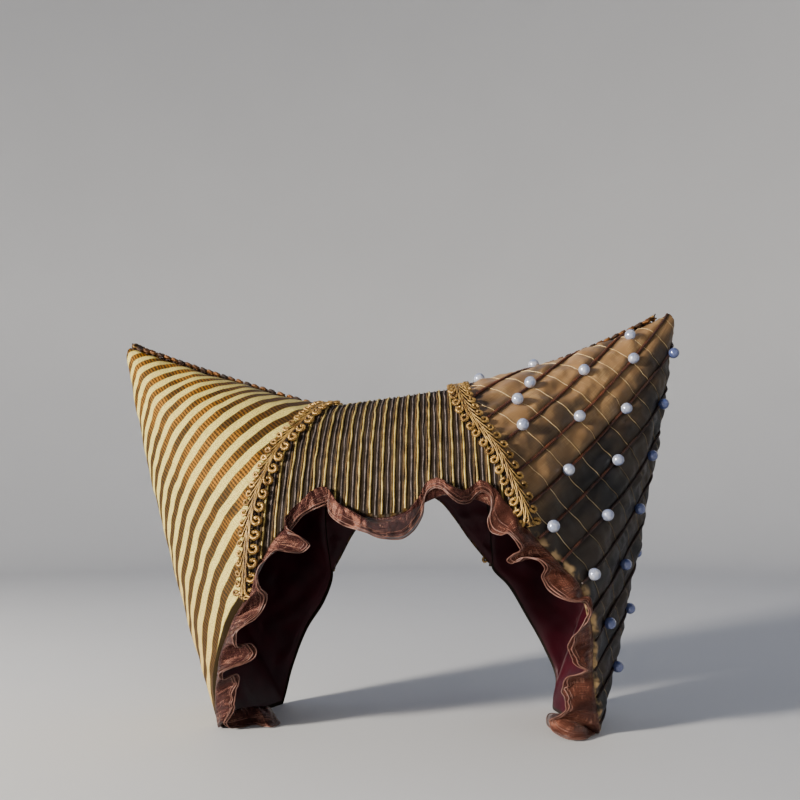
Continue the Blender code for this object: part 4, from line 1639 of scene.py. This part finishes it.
@dataclass
class LoopedGimp:
    """Braid of gold cord: pale stems that leave the spine like twigs and curl into fat loops."""

    bed: SeamBed | ClosingBed
    name: str
    node: str
    curls: tuple
    seed: int
    stem: float = 0.36 * MM
    # radius of the dark cords that paint shade in the braid's gaps and loop hearts
    shade_filler: float = 0.6 * MM
    lift: float = 1.1 * MM
    stem_pitches: float = 1.25
    wrap: float = 1.6 * MM
    ring_turn: tuple = (-90.0, -405.0)
    ring_shrink: float = 0.62
    ring_steps: int = 21
    spine_width: float = 0.52
    spine_step: float = 0.55 * MM
    spine_pitch: float = 2.7 * MM
    twist_rise: float = 2.9 * MM
    twist_strand: float = 0.27 * MM
    twist_pitch: float = 2.4 * MM

    def trace(self, work: CordWork, runs: Array, asides: Array, heights: object, radius: object,
              kind: int = 0) -> None:
        """Lays one cord through spots of the bed."""
        points, outs = self.bed.at(np.asarray(runs), np.asarray(asides))
        work.lay(points + outs * np.broadcast_to(heights, len(points))[:, None], radius, kind)

    def curl(self, work: CordWork, run: float, row: CurlRow, kind: int) -> None:
        """Lays a stem along the spine, the fat loop that it ends in, and a dark cord in the loop's heart
        that paints its shade.

        Args:
            work: The cords to add to.
            run: Where the loop's middle is along the braid.
            row: The row of loops that it belongs to.
            kind: Which of the materials the loop has.
        """
        ring, middle, strand, pitch = row.ring * MM, row.middle * MM, row.strand * MM, row.pitch * MM
        angles = np.radians(np.linspace(*self.ring_turn, self.ring_steps))
        size = ring * np.linspace(1.0, self.ring_shrink, self.ring_steps)
        points, outs = self.bed.at(run + size * np.cos(angles), row.side * (middle + size * np.sin(angles)))
        heights = self.lift + 2 * strand + np.linspace(0.0, 1.0, self.ring_steps) ** 2 * strand
        work.twist(points + outs * heights[:, None], outs, strand, self.wrap, 0.44 * MM, kind)
        share = np.linspace(0.0, 1.0, 13)
        stem_runs = run + pitch * self.stem_pitches * (1 - share)
        reach = middle - ring - 0.4 * MM
        for beside in (0.0, 1.1 * MM)[:1 if row.side > 0 else 2]:
            stem_asides = row.side * (0.3 * MM + beside + (reach - beside) * share**1.5)
            self.trace(work, stem_runs, stem_asides, self.lift + 3.3 * strand, self.stem, 1)
        # painted shade: a dark cord fills the heart of the loop
        heart = np.linspace(0.0, TURN, 8)
        core = 0.4 * ring
        self.trace(work, run + core * np.cos(heart), row.side * (middle + core * np.sin(heart)),
                   0.7 * self.lift, self.shade_filler, 2)

    def fray(self, work: CordWork, run: float, spread: float, count: int, rng: np.random.Generator,
             scale: float = 1.0) -> None:
        """Lays a tuft of small loose loops round a place of the braid."""
        for number in range(count):
            angles = np.linspace(0.0, 1.9 * math.pi, 11) + rng.uniform(0, TURN)
            size = rng.uniform(0.8, 1.7) * scale * MM
            middle = rng.normal(0.0, spread, 2)
            runs = np.clip(run + middle[0] + size * np.cos(angles), 0.0, self.bed.length())
            heights = self.lift + np.linspace(0.2, 2.4, 11) * scale * MM
            asides = middle[1] + size * np.sin(angles)
            self.trace(work, runs, asides, heights, self.stem * scale, number % 3)

    def curl_rows(self, work: CordWork, rng: np.random.Generator, first: float, off: float,
                  dull: int = 0) -> None:
        """Lays every row of loops.

        Args:
            work: The cords to add to.
            rng: Source of the unevenness.
            first: Where the first loop is, in loops.
            off: How far a loop may be off its even place.
            dull: One loop in so many is dull, or none for 0.
        """
        for row in self.curls:
            for number in range(int(self.bed.length() / (row.pitch * MM))):
                run = (number + first) * row.pitch * MM + rng.normal(0.0, off)
                self.curl(work, run, row, 2 if dull and (number + row.side) % dull == 0 else 0)

    def lay_all(self, work: CordWork, rng: np.random.Generator) -> None:
        """Lays the dark spine, whose zigzag cords paint shade in the braid's gaps, the fine twist over it,
        the loops and the frayed end.
        """
        width = max(row.middle for row in self.curls) * self.spine_width * MM
        runs = np.arange(0.0, self.bed.length(), self.spine_step)
        # painted shade: two dark zigzag cords under the braid fill its gaps
        for phase in (0.0, 1.6):
            swing = np.sin(runs / self.spine_pitch * TURN + phase)
            self.trace(work, runs, width * swing, 0.75 * self.lift, self.shade_filler, 2)
        points, outs = self.bed.at(runs, np.zeros_like(runs))
        line = points + outs * self.twist_rise
        work.twist(line, outs, self.twist_strand, self.twist_pitch, 0.6 * MM, 1)
        self.curl_rows(work, rng, 0.45, 0.2 * MM)
        self.fray(work, 2 * MM, 1.6 * MM, 9, rng)

    def build(self, finishes: list) -> Object:
        """Builds the braid in place of its solid."""
        work = CordWork(self.name, finishes)
        self.lay_all(work, np.random.default_rng(self.seed))
        return work.piece("gold_gimp", self.node)


@dataclass
class NarrowGimp(LoopedGimp):
    """Narrow braid of curled loops along the top of a horn, with a tuft at the tip."""

    standing: float = 3.6 * MM
    standing_pitch: float = 6.0 * MM
    standing_reach: float = 62 * MM
    tuft: int = 22

    def lay_all(self, work: CordWork, rng: np.random.Generator) -> None:
        """Lays the flat loops, the loops that stand near the tip, and the tuft."""
        length = self.bed.length()
        self.curl_rows(work, rng, 0.5, 0.4 * MM, 3)
        angles = np.linspace(-0.3 * math.pi, 1.3 * math.pi, 13)
        for number in range(int(self.standing_reach / self.standing_pitch)):
            run, aside = length - (number + 0.6) * self.standing_pitch, rng.normal(0.0, 0.9 * MM)
            size = self.standing * rng.uniform(0.7, 1.1)
            asides = aside + 0.5 * size * np.sin(angles * 0.7)
            points, outs = self.bed.at(run + size * np.cos(angles), asides)
            line = points + outs * (2.4 * MM + size * np.sin(angles))[:, None]
            work.twist(line, outs, 0.66 * MM, self.wrap, 0.5 * MM, number % 2 * 2)
        self.fray(work, length - 3 * MM, 2.0 * MM, self.tuft, rng, 1.5)


RUFFLE = table(
    RuffleRow,
    (0, -87.5, -0.5, 1, -95, 6.5, 6), (8, -81, -19.5, 1, -92.5, -7.5, 9.5),
    (16, -86.5, -27.5, 1, -97, -16.5, 12), (24, -97, -21, 1, -104, -16, 11),
    (32, -103.5, -28, 1, -108.5, -22.5, 11.5), (42, -110.5, -34.5, 2, -113.5, -30.5, 9),
    (50, -111.5, -40, 7, -116, -38, 5.5), (56, -106.5, -43.5, 14, -113, -41.5, 11.5),
    (64, -104, -45, 20, -111.5, -43.5, 18.5), (72, -103.5, -46.5, 28, -111, -45.5, 26),
    (79, -100.5, -48.5, 35, -109, -47.5, 32.5), (84, -101.5, -52.5, 41, -109, -51, 37.5),
    (89, -107.5, -59, 39, -111, -56, 39), (93, -107.5, -62, 43.5, -111, -59, 43),
    (97, -102, -61.5, 46.5, -107.5, -59, 46.5), (101, -95.5, -58, 48.5, -103.5, -57, 49),
    (105, -89, -55, 51.5, -100, -55, 52.5), (109, -87.5, -55, 55.5, -98.5, -55.5, 56),
    (113, -90.5, -60, 62, -99.5, -59, 61), (117, -95.5, -67.5, 60.5, -101, -65, 62),
    (121, -96, -72, 66.5, -100.5, -69, 66.5), (125, -94.5, -73, 71, -99, -70, 70.5),
    (129, -89, -71.5, 75.5, -95.5, -69, 74.5), (134, -83, -68.5, 80, -91.5, -67.5, 79),
    (139, -79, -66, 86.5, -88, -66, 84), (144, -77.5, -69, 93, -86, -68.5, 89.5),
    (149, -79.5, -75, 97.5, -85.5, -73, 93.5), (155, -81, -78.5, 104.5, -84.5, -75.5, 100),
    (161, -80, -79, 110.5, -83, -76, 106), (168, -74.5, -78, 117, -79, -75.5, 112.5),
    (176, -69, -77.5, 122, -74.5, -75, 118.5), (184, -62, -74.5, 120, -69, -72.5, 121),
    (190, -54.5, -70, 120, -64, -69, 123), (195, -50.5, -70, 124, -60.5, -69, 127.5),
    (199, -55, -74, 129, -61.5, -72, 131.5), (203, -63.5, -72.5, 131.5, -66, -71.5, 140),
    (207, -62, -68, 134.5, -63, -68, 145), (211, -57.5, -66, 140.5, -59, -66, 149.5),
    (216, -51, -65.5, 145.5, -55, -65.5, 153), (221, -45.5, -65, 147.5, -50.5, -65.5, 157.5),
    (226, -40.5, -64.5, 149.5, -45.5, -65, 160), (231, -39.5, -64.5, 150, -41.5, -65, 160),
    (236, -39.5, -66, 144.5, -38, -66, 156.5), (241, -35.5, -69, 140, -34, -68.5, 151),
    (246, -29.5, -72.5, 136.5, -27.5, -71, 146.5), (252, -22, -74.5, 134, -21.5, -73, 143.5),
    (258, -15, -76.5, 132, -15.5, -74.5, 140), (264, -8, -76.5, 129, -8.5, -74.5, 137),
    (270, -1.5, -75, 128, -2, -73.5, 137), (277, 7, -72.5, 128.5, 5.5, -71.5, 139.5),
    (283, 12, -70, 132, 10.5, -69.5, 145), (289, 15.5, -67.5, 136.5, 14.5, -67.5, 151),
    (294, 18.5, -66, 142.5, 17.5, -66.5, 156), (299, 19.5, -65.5, 150, 19.5, -66, 161),
    (303, 21, -66, 155.5, 22, -66.5, 163.5), (308, 26, -68.5, 159, 26, -68, 165),
    (313, 31, -72, 158, 31, -71, 164), (318, 34.5, -74, 154.5, 35, -72.5, 161),
    (323, 38, -74.5, 151.5, 39.5, -72.5, 158.5), (329, 42.5, -71.5, 149.5, 43.5, -70.5, 157.5),
    (334, 47.5, -68, 150.5, 47.5, -68, 159.5), (339, 51, -67, 154, 49.5, -67.5, 161),
    (344, 54.5, -67.5, 156.5, 53.5, -67.5, 163.5), (349, 59.5, -67.5, 153.5, 59.5, -68, 161),
    (353, 60, -68, 146, 64, -68.5, 157), (357, 58, -68, 139, 67.5, -68.5, 151),
    (361, 60, -68.5, 132.5, 71.5, -68.5, 146), (365, 65, -71.5, 130.5, 74, -71, 142),
    (369, 69.5, -77.5, 131.5, 76, -75.5, 133), (374, 74.5, -81, 126, 80, -78, 128),
    (378, 76.5, -78, 121.5, 82, -76, 124.5), (382, 72.5, -71.5, 118.5, 81.5, -71, 121.5),
    (386, 69.5, -68, 115, 81.5, -68.5, 118.5), (389, 73, -68, 113.5, 84.5, -68, 116.5),
    (392, 77.5, -69, 116.5, 87.5, -69, 117), (396, 84.5, -72, 116.5, 92.5, -71, 115.5),
    (400, 89, -74.5, 115, 96.5, -72.5, 113), (403, 91.5, -73, 111, 98.5, -71.5, 110),
    (406, 90, -68, 105, 99, -67.5, 106), (410, 93, -67, 99.5, 101.5, -66.5, 102),
    (414, 97.5, -71, 95, 105, -69, 98.5), (418, 103.5, -74, 92, 109, -71.5, 95),
    (422, 109, -74.5, 91, 113, -71, 93), (426, 114.5, -73, 90.5, 117.5, -70.5, 94),
    (430, 117.5, -72, 86.5, 120, -69.5, 89), (435, 117, -70.5, 81, 120, -67.5, 83),
    (440, 113, -68.5, 74.5, 117, -65.5, 76.5), (445, 109, -65, 69, 115.5, -62.5, 71.5),
    (451, 107.5, -61.5, 61.5, 115.5, -59.5, 65), (457, 109.5, -60.5, 55, 116.5, -58, 59),
    (463, 112.5, -61, 50.5, 118, -58, 53.5), (468, 117.5, -60.5, 48, 120.5, -57.5, 50),
    (473, 113, -56.5, 44.5, 118.5, -54, 46), (478, 107.5, -49.5, 41, 116, -48.5, 41.5),
    (483, 106, -43.5, 34.5, 115.5, -43.5, 36), (489, 106, -44, 31.5, 116, -43.5, 32),
    (495, 107, -46.5, 27, 117, -44.5, 27.5), (501, 107.5, -47, 22, 117, -45.5, 22.5),
    (508, 103.5, -43, 15.5, 114, -44.5, 18), (515, 98.5, -35, 9.5, 110, -40, 14),
    (521, 101.5, -40, 4.5, 112, -38, 11.5), (527, 109, -46.5, 2, 117, -37, 9.5),
    (534, 118.5, -44, 1.5, 122, -33, 7.5), (542, 127, -32, 1.5, 124.5, -22, 5),
    (550, 106.5, 21.5, 1, 115.5, 11.5, 2.5), (557, 101, 1.5, 1, 111.5, 4.5, 2.5),
    (562, 102.5, -19.5, 1, 111, -3.5, 2.5), (567, 107.5, -33.5, 1, 113, -8, 2.5),
)


@dataclass
class Ruffle:
    """Doubled sheer ribbon gathered under the front edge, from foot to foot."""

    band_cover: BandCover
    step: float = 0.6 * MM
    rows: int = 22
    tuck: float = 3.0 * MM
    around: float = 2.2 * MM
    gather: float = 0.22 * MM
    gather_pitch: float = 3.9 * MM
    curl: float = 0.8 * MM
    fullness: float = 1.5
    floor: float = 0.8 * MM
    foot_depth: float = 18 * MM
    calming: int = 11
    hem_lines: tuple = ((1.0, 0.42 * MM), (0.86, 0.42 * 0.55 * MM))
    back_shift: float = 2.2 * MM
    back_share: float = 0.86
    turns_at: tuple = (0.0, 0.16, 0.58, 1.0)
    slot: str = "sheer_ribbon"

    def path(self) -> tuple[Array, Array, Array]:
        """Front edge from foot to foot: points, outward directions and directions off the edge."""
        cover = self.band_cover
        stations = []
        for form in (cover.left, cover.right):
            loop = form.loop
            order = np.arange(SEAM_STEPS * FINE + 1, len(loop))
            order = order[loop[order, 1] < self.foot_depth]
            directions = unit(loop[order] - form.tip)
            stations.append(np.column_stack([loop[order], form.normals[order], directions]))
        band, south = cover.band, cover.edges()[2].T
        edge = np.column_stack([band.point(*south), band.normal(*south), -unit(band.slope(*south))])
        marks = np.vstack([stations[0], edge, stations[1][::-1]])
        line = marks[:, :3]
        count = int(run_of(line)[-1] / self.step)
        even = evenly(line, count, marks)
        kernel = np.ones(self.calming) / self.calming
        before, after = (end.repeat(self.calming // 2, axis=0) for end in (even[:1], even[-1:]))
        padded = np.vstack([before, even, after])
        smooth = np.stack([np.convolve(column, kernel, "valid") for column in padded.T], axis=1)
        spots, outs, off = np.split(smooth, 3, axis=1)
        rails = unit(np.gradient(spots, axis=0))
        outs = square_to(outs, rails)
        return spots, outs, square_to(square_to(off, rails), outs)

    def ribbon(self, layer: int) -> tuple:
        """Works out how one layer of the ribbon lies.

        Args:
            layer: 0 for the front layer and 1 for the one behind it.

        Returns:
            The function that lays a grid on it, the faces along it, and its length.
        """
        spots, outs, off = self.path()
        runs = run_of(spots)
        rows = np.array(RUFFLE) * MM
        rows[:, 1:4] += ORIGIN
        rows[:, 4:7] += ORIGIN
        line = smooth_line(rows)
        order = np.maximum.accumulate(line[:, 0]) + np.arange(len(line)) * 1e-9
        curls = Unevenness(81 + layer, 9 * MM)
        knot_shares = np.array(self.turns_at)

        def shape(u: Array, v: Array) -> Laid:
            """Lays the grid from the tucked edge of the ribbon over its fold to its hem."""
            run = u * runs[-1]
            spot = pick(run, runs, spots)
            out, away = (unit(pick(run, runs, directions)) for directions in (outs, off))
            shifted = np.clip(run + layer * self.back_shift, 0.0, runs[-1])
            hem, fold = np.split(pick(shifted, order, line[:, 1:]), 2, axis=1)
            if layer:
                hem = fold + (hem - fold) * self.back_share + out * 1.0 * MM
                fold = fold - out * 0.8 * MM
            around = spot + away * self.around + out * 0.8 * MM
            start = spot - out * (1.9 + 0.3 * layer) * MM - away * self.tuck
            knots = np.stack([start, around, fold, hem])
            tangents = np.stack([around - start, (fold - start) * 0.5, (hem - around) * 0.5, hem - fold])
            piece = np.clip(np.searchsorted(knot_shares, v, side="right") - 1, 0, 2)
            f = ((v - knot_shares[piece]) / (knot_shares[piece + 1] - knot_shares[piece]))[:, None]
            spot_of = np.arange(len(v))
            before, after = knots[piece, spot_of], knots[piece + 1, spot_of]
            leave, enter = tangents[piece, spot_of], tangents[piece + 1, spot_of]
            points = bow(f, before, after, leave, enter)
            free = ramp(v, knot_shares[1], knot_shares[1] + 0.3)
            gather = np.sin(run / self.gather_pitch * TURN + 1.7 * layer) * np.sin(v * math.pi)
            curl = curls.at(np.stack([run * 1.3, v * 11 * MM + layer * 0.02], axis=-1)) * free
            points = points + out * (self.gather * gather + self.curl * curl)[:, None]
            points[:, 2] = np.maximum(points[:, 2], self.floor)
            flat = np.stack([run * self.fullness, v * 19 * MM], axis=-1)
            return Laid(points, out, flat, {})

        return shape, int(runs[-1] / self.step), float(runs[-1])

    def build(self, sheer: Material, hem_finish: Material) -> None:
        hems = CordWork("ruffle_hems", [hem_finish], sides=0)
        layers = []
        for layer in (0, 1):
            shape, columns, length = self.ribbon(layer)
            name, *nodes = (("ruffle_front", "ruffle"), ("ruffle_back",))[layer]
            mesh = lay_cloth(name, columns, self.rows, shape, sheer)
            layers.append(place_piece(mesh, self.slot, *nodes))
            u = np.linspace(0.0, 1.0, columns + 1)
            for share, radius in self.hem_lines:
                hems.lay(shape(u, np.full_like(u, share)).points, radius)
        trims = ([hems.piece(self.slot)], [])
        for piece, sewn_on in zip(layers, trims):
            area = sum(polygon.area for polygon in piece.data.polygons)
            cut = length * self.fullness
            area / cut


@dataclass
class Pearls:
    """Sewn beads on the crossings of the right horn's cords and threads."""

    radius: float = 4.0 * MM

    def build(self, finish: Material, nodes: list) -> Object:
        """Builds one smooth bead where each bead of the model is."""
        beads = bmesh.new()
        for node in nodes:
            low, high = (np.array(corner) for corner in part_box(node))
            made = bmesh.ops.create_icosphere(beads, subdivisions=3, radius=self.radius)
            bmesh.ops.translate(beads, verts=made["verts"], vec=tuple((low + high) / 2))
        mesh = mesh_from("sewn_pearls", beads)
        mesh.shade_smooth()
        mesh.materials.append(finish)
        return place_piece(mesh, "pearl", *nodes)


class LightKind(Enum):
    """What a studio light is for."""

    KEY = "key"
    FILL = "fill"
    TOP = "top"

    def tint(self) -> tuple:
        """Colour of the light: the key is warm and the others are cool."""
        return colour(255, 247, 234) if self is LightKind.KEY else colour(184, 208, 255)


class LightRow(NamedTuple):
    """One studio light: its kind, direction in degrees, distance and size in metres, and power."""

    kind: LightKind
    azimuth: float
    elevation: float
    distance: float
    size: float
    watts: float


@dataclass
class Studio:
    """Plain pale floor, soft lights, and the camera at the photo's viewing angle."""

    middle: tuple = (0.0, 0.0, 0.13)
    camera_spot: tuple = (0.0464545, -0.5503998, 0.140)
    camera_turn: float = 4.0
    lens: float = 35.55
    shift_up: float = 0.149
    floor: float = 1.7
    corner: float = 0.9
    wall: float = 3.4
    lights: tuple = (
        LightRow(LightKind.KEY, -55.0, 13.0, 1.8, 0.22, 84.0),
        LightRow(LightKind.FILL, 20.0, 28.0, 2.2, 2.2, 0.8),
        LightRow(LightKind.TOP, 165.0, 60.0, 2.0, 1.6, 3.4),
    )

    def lay_floor(self) -> None:
        """Lays a pale floor that sweeps up all round the hat."""
        sweep = bmesh.new()
        turns = np.linspace(0.0, math.pi / 2, 13)
        rounded = zip(self.floor + self.corner * np.sin(turns), self.corner * (1 - np.cos(turns)))
        profile = [(0.0, 0.0), *rounded, (self.floor + self.corner, self.wall)]
        spots = [sweep.verts.new((radius, 0.0, height)) for radius, height in profile]
        edges = [sweep.edges.new(pair) for pair in zip(spots[:-1], spots[1:])]
        bmesh.ops.spin(sweep, geom=spots + edges, axis=(0, 0, 1), cent=(0, 0, 0), angle=TURN, steps=96,
                       use_merge=True)
        bmesh.ops.remove_doubles(sweep, verts=sweep.verts[:], dist=1e-5)
        bmesh.ops.recalc_face_normals(sweep, faces=sweep.faces[:])
        if min(sweep.faces, key=lambda face: face.calc_center_median().length).normal.z < 0:
            bmesh.ops.reverse_faces(sweep, faces=sweep.faces[:])
        mesh = mesh_from("floor", sweep)
        mesh.shade_smooth()
        bench = Surface("pale_floor")
        tone = bench.noise(bench.place(), 3.0, 3.0)
        paint = bench.mix(tone, colour(212, 213, 215), colour(219, 220, 222))
        mesh.materials.append(bench.coat(Base_Color=paint, Roughness=0.7))
        add_object("floor", mesh)

    def set_light(self, row: LightRow) -> None:
        """Sets up one area light that faces the hat."""
        lamp = bpy.data.lights.new(row.kind.value, "AREA")
        lamp.energy = row.watts
        lamp.size = row.size
        lamp.color = row.kind.tint()[:3]
        turn, rise = math.radians(row.azimuth), math.radians(row.elevation)
        level = math.cos(rise)
        toward = np.array((math.sin(turn) * level, -math.cos(turn) * level, math.sin(rise)))
        stand = add_object(row.kind.value, lamp)
        stand.location = np.array(self.middle) + toward * row.distance
        stand.rotation_euler = (math.pi / 2 - rise, 0.0, turn)

    def set_camera(self) -> None:
        """Sets up the level camera at the photo's viewing angle."""
        view = bpy.data.cameras.new("camera")
        view.lens = self.lens
        view.sensor_width = 36.0
        view.shift_y = self.shift_up
        view.clip_start = 0.02
        stand = add_object("camera", view)
        stand.location = self.camera_spot
        stand.rotation_euler = (math.pi / 2, 0.0, math.radians(self.camera_turn))
        bpy.context.scene.camera = stand

    def build(self) -> None:
        """Sets up everything."""
        self.lay_floor()
        for row in self.lights:
            self.set_light(row)
        world = bpy.data.worlds.new("studio")
        world.use_nodes = True
        sky = world.node_tree.nodes["Background"]
        sky.inputs["Color"].default_value = colour(196, 214, 255)
        sky.inputs["Strength"].default_value = 0.14
        bpy.context.scene.world = world
        self.set_camera()


def main() -> None:
    """Builds the dressed hat and its studio."""
    logging.basicConfig(level=logging.INFO, format="%(message)s")
    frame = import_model()
    Studio().build()
    effects = Effects()
    band = BandForm()
    left = HornForm.shape(-1, band, LEFT_SEAM, LEFT_RIM, (-223.5, 60.0, 277.0), (-9.0, 10.0, 1.6))
    right = HornForm.shape(1, band, RIGHT_SEAM, RIGHT_RIM, (205.1, 60.0, 296.8), (4.5, 10.0, -3.0))
    left_flat = FlatCloth.unroll(left, 1.62)
    right_flat = FlatCloth.unroll(right, 1.805)

    striped = StripedCover(left, left_flat, "striped_cover", "left_horn", "striped_cloth")
    striped.build(StripedSatin().dress(effects))
    quilted = QuiltedCover(right, right_flat, "quilted_cover", "right_horn", "shot_taffeta")
    quilted.build(ShotTaffeta().dress(effects))
    # dull is the dark gimp yarn, which also paints shade in the braids' gaps and loop hearts
    tuck, thread, *ribs, bright, pale, dull, old, hem = (yarn.dress(effects) for yarn in YARNS)
    quilted.build_cords(tuck)
    quilted.build_threads(thread)

    cover = BandCover(band, left, right)
    cover.build(RibbedGround().dress(effects), ribs)
    satin = LiningSatin().dress(effects)
    lining = Lining(cover)
    lining.build_horn("satin_left", "lining_left", striped, 71, satin)
    lining.build_horn("satin_right", "lining_right", quilted, 74, satin)
    lining.build_band("satin_band", satin)

    for side, form, flat, curls, stop, standing, tuft in (
        ("left", left, left_flat, LEFT_CURLS, 0.985, 3.6 * MM, 22),
        ("right", right, right_flat, RIGHT_CURLS, 0.94, 2.2 * MM, 4),
    ):
        wide = LoopedGimp(SeamBed(band, form), f"looped_gimp_{side}", f"gimp_braid_{side}",
                          curls, 60 + form.side)
        wide.build([bright, pale, dull])
        narrow = NarrowGimp(ClosingBed(form, flat, stop=stop), f"narrow_gimp_{side}", f"gimp_seam_{side}",
                            TOP_CURLS, 64 + form.side, standing=standing, tuft=tuft)
        narrow.build([old, bright, dull])

    Ruffle(cover).build(SheerRibbon().dress(effects), hem)
    beads = sorted(name for name in frame["nodes"] if name.startswith("pearl_"))
    Pearls().build(PearlLustre().dress(), beads)


if __name__ == "__main__":
    main()
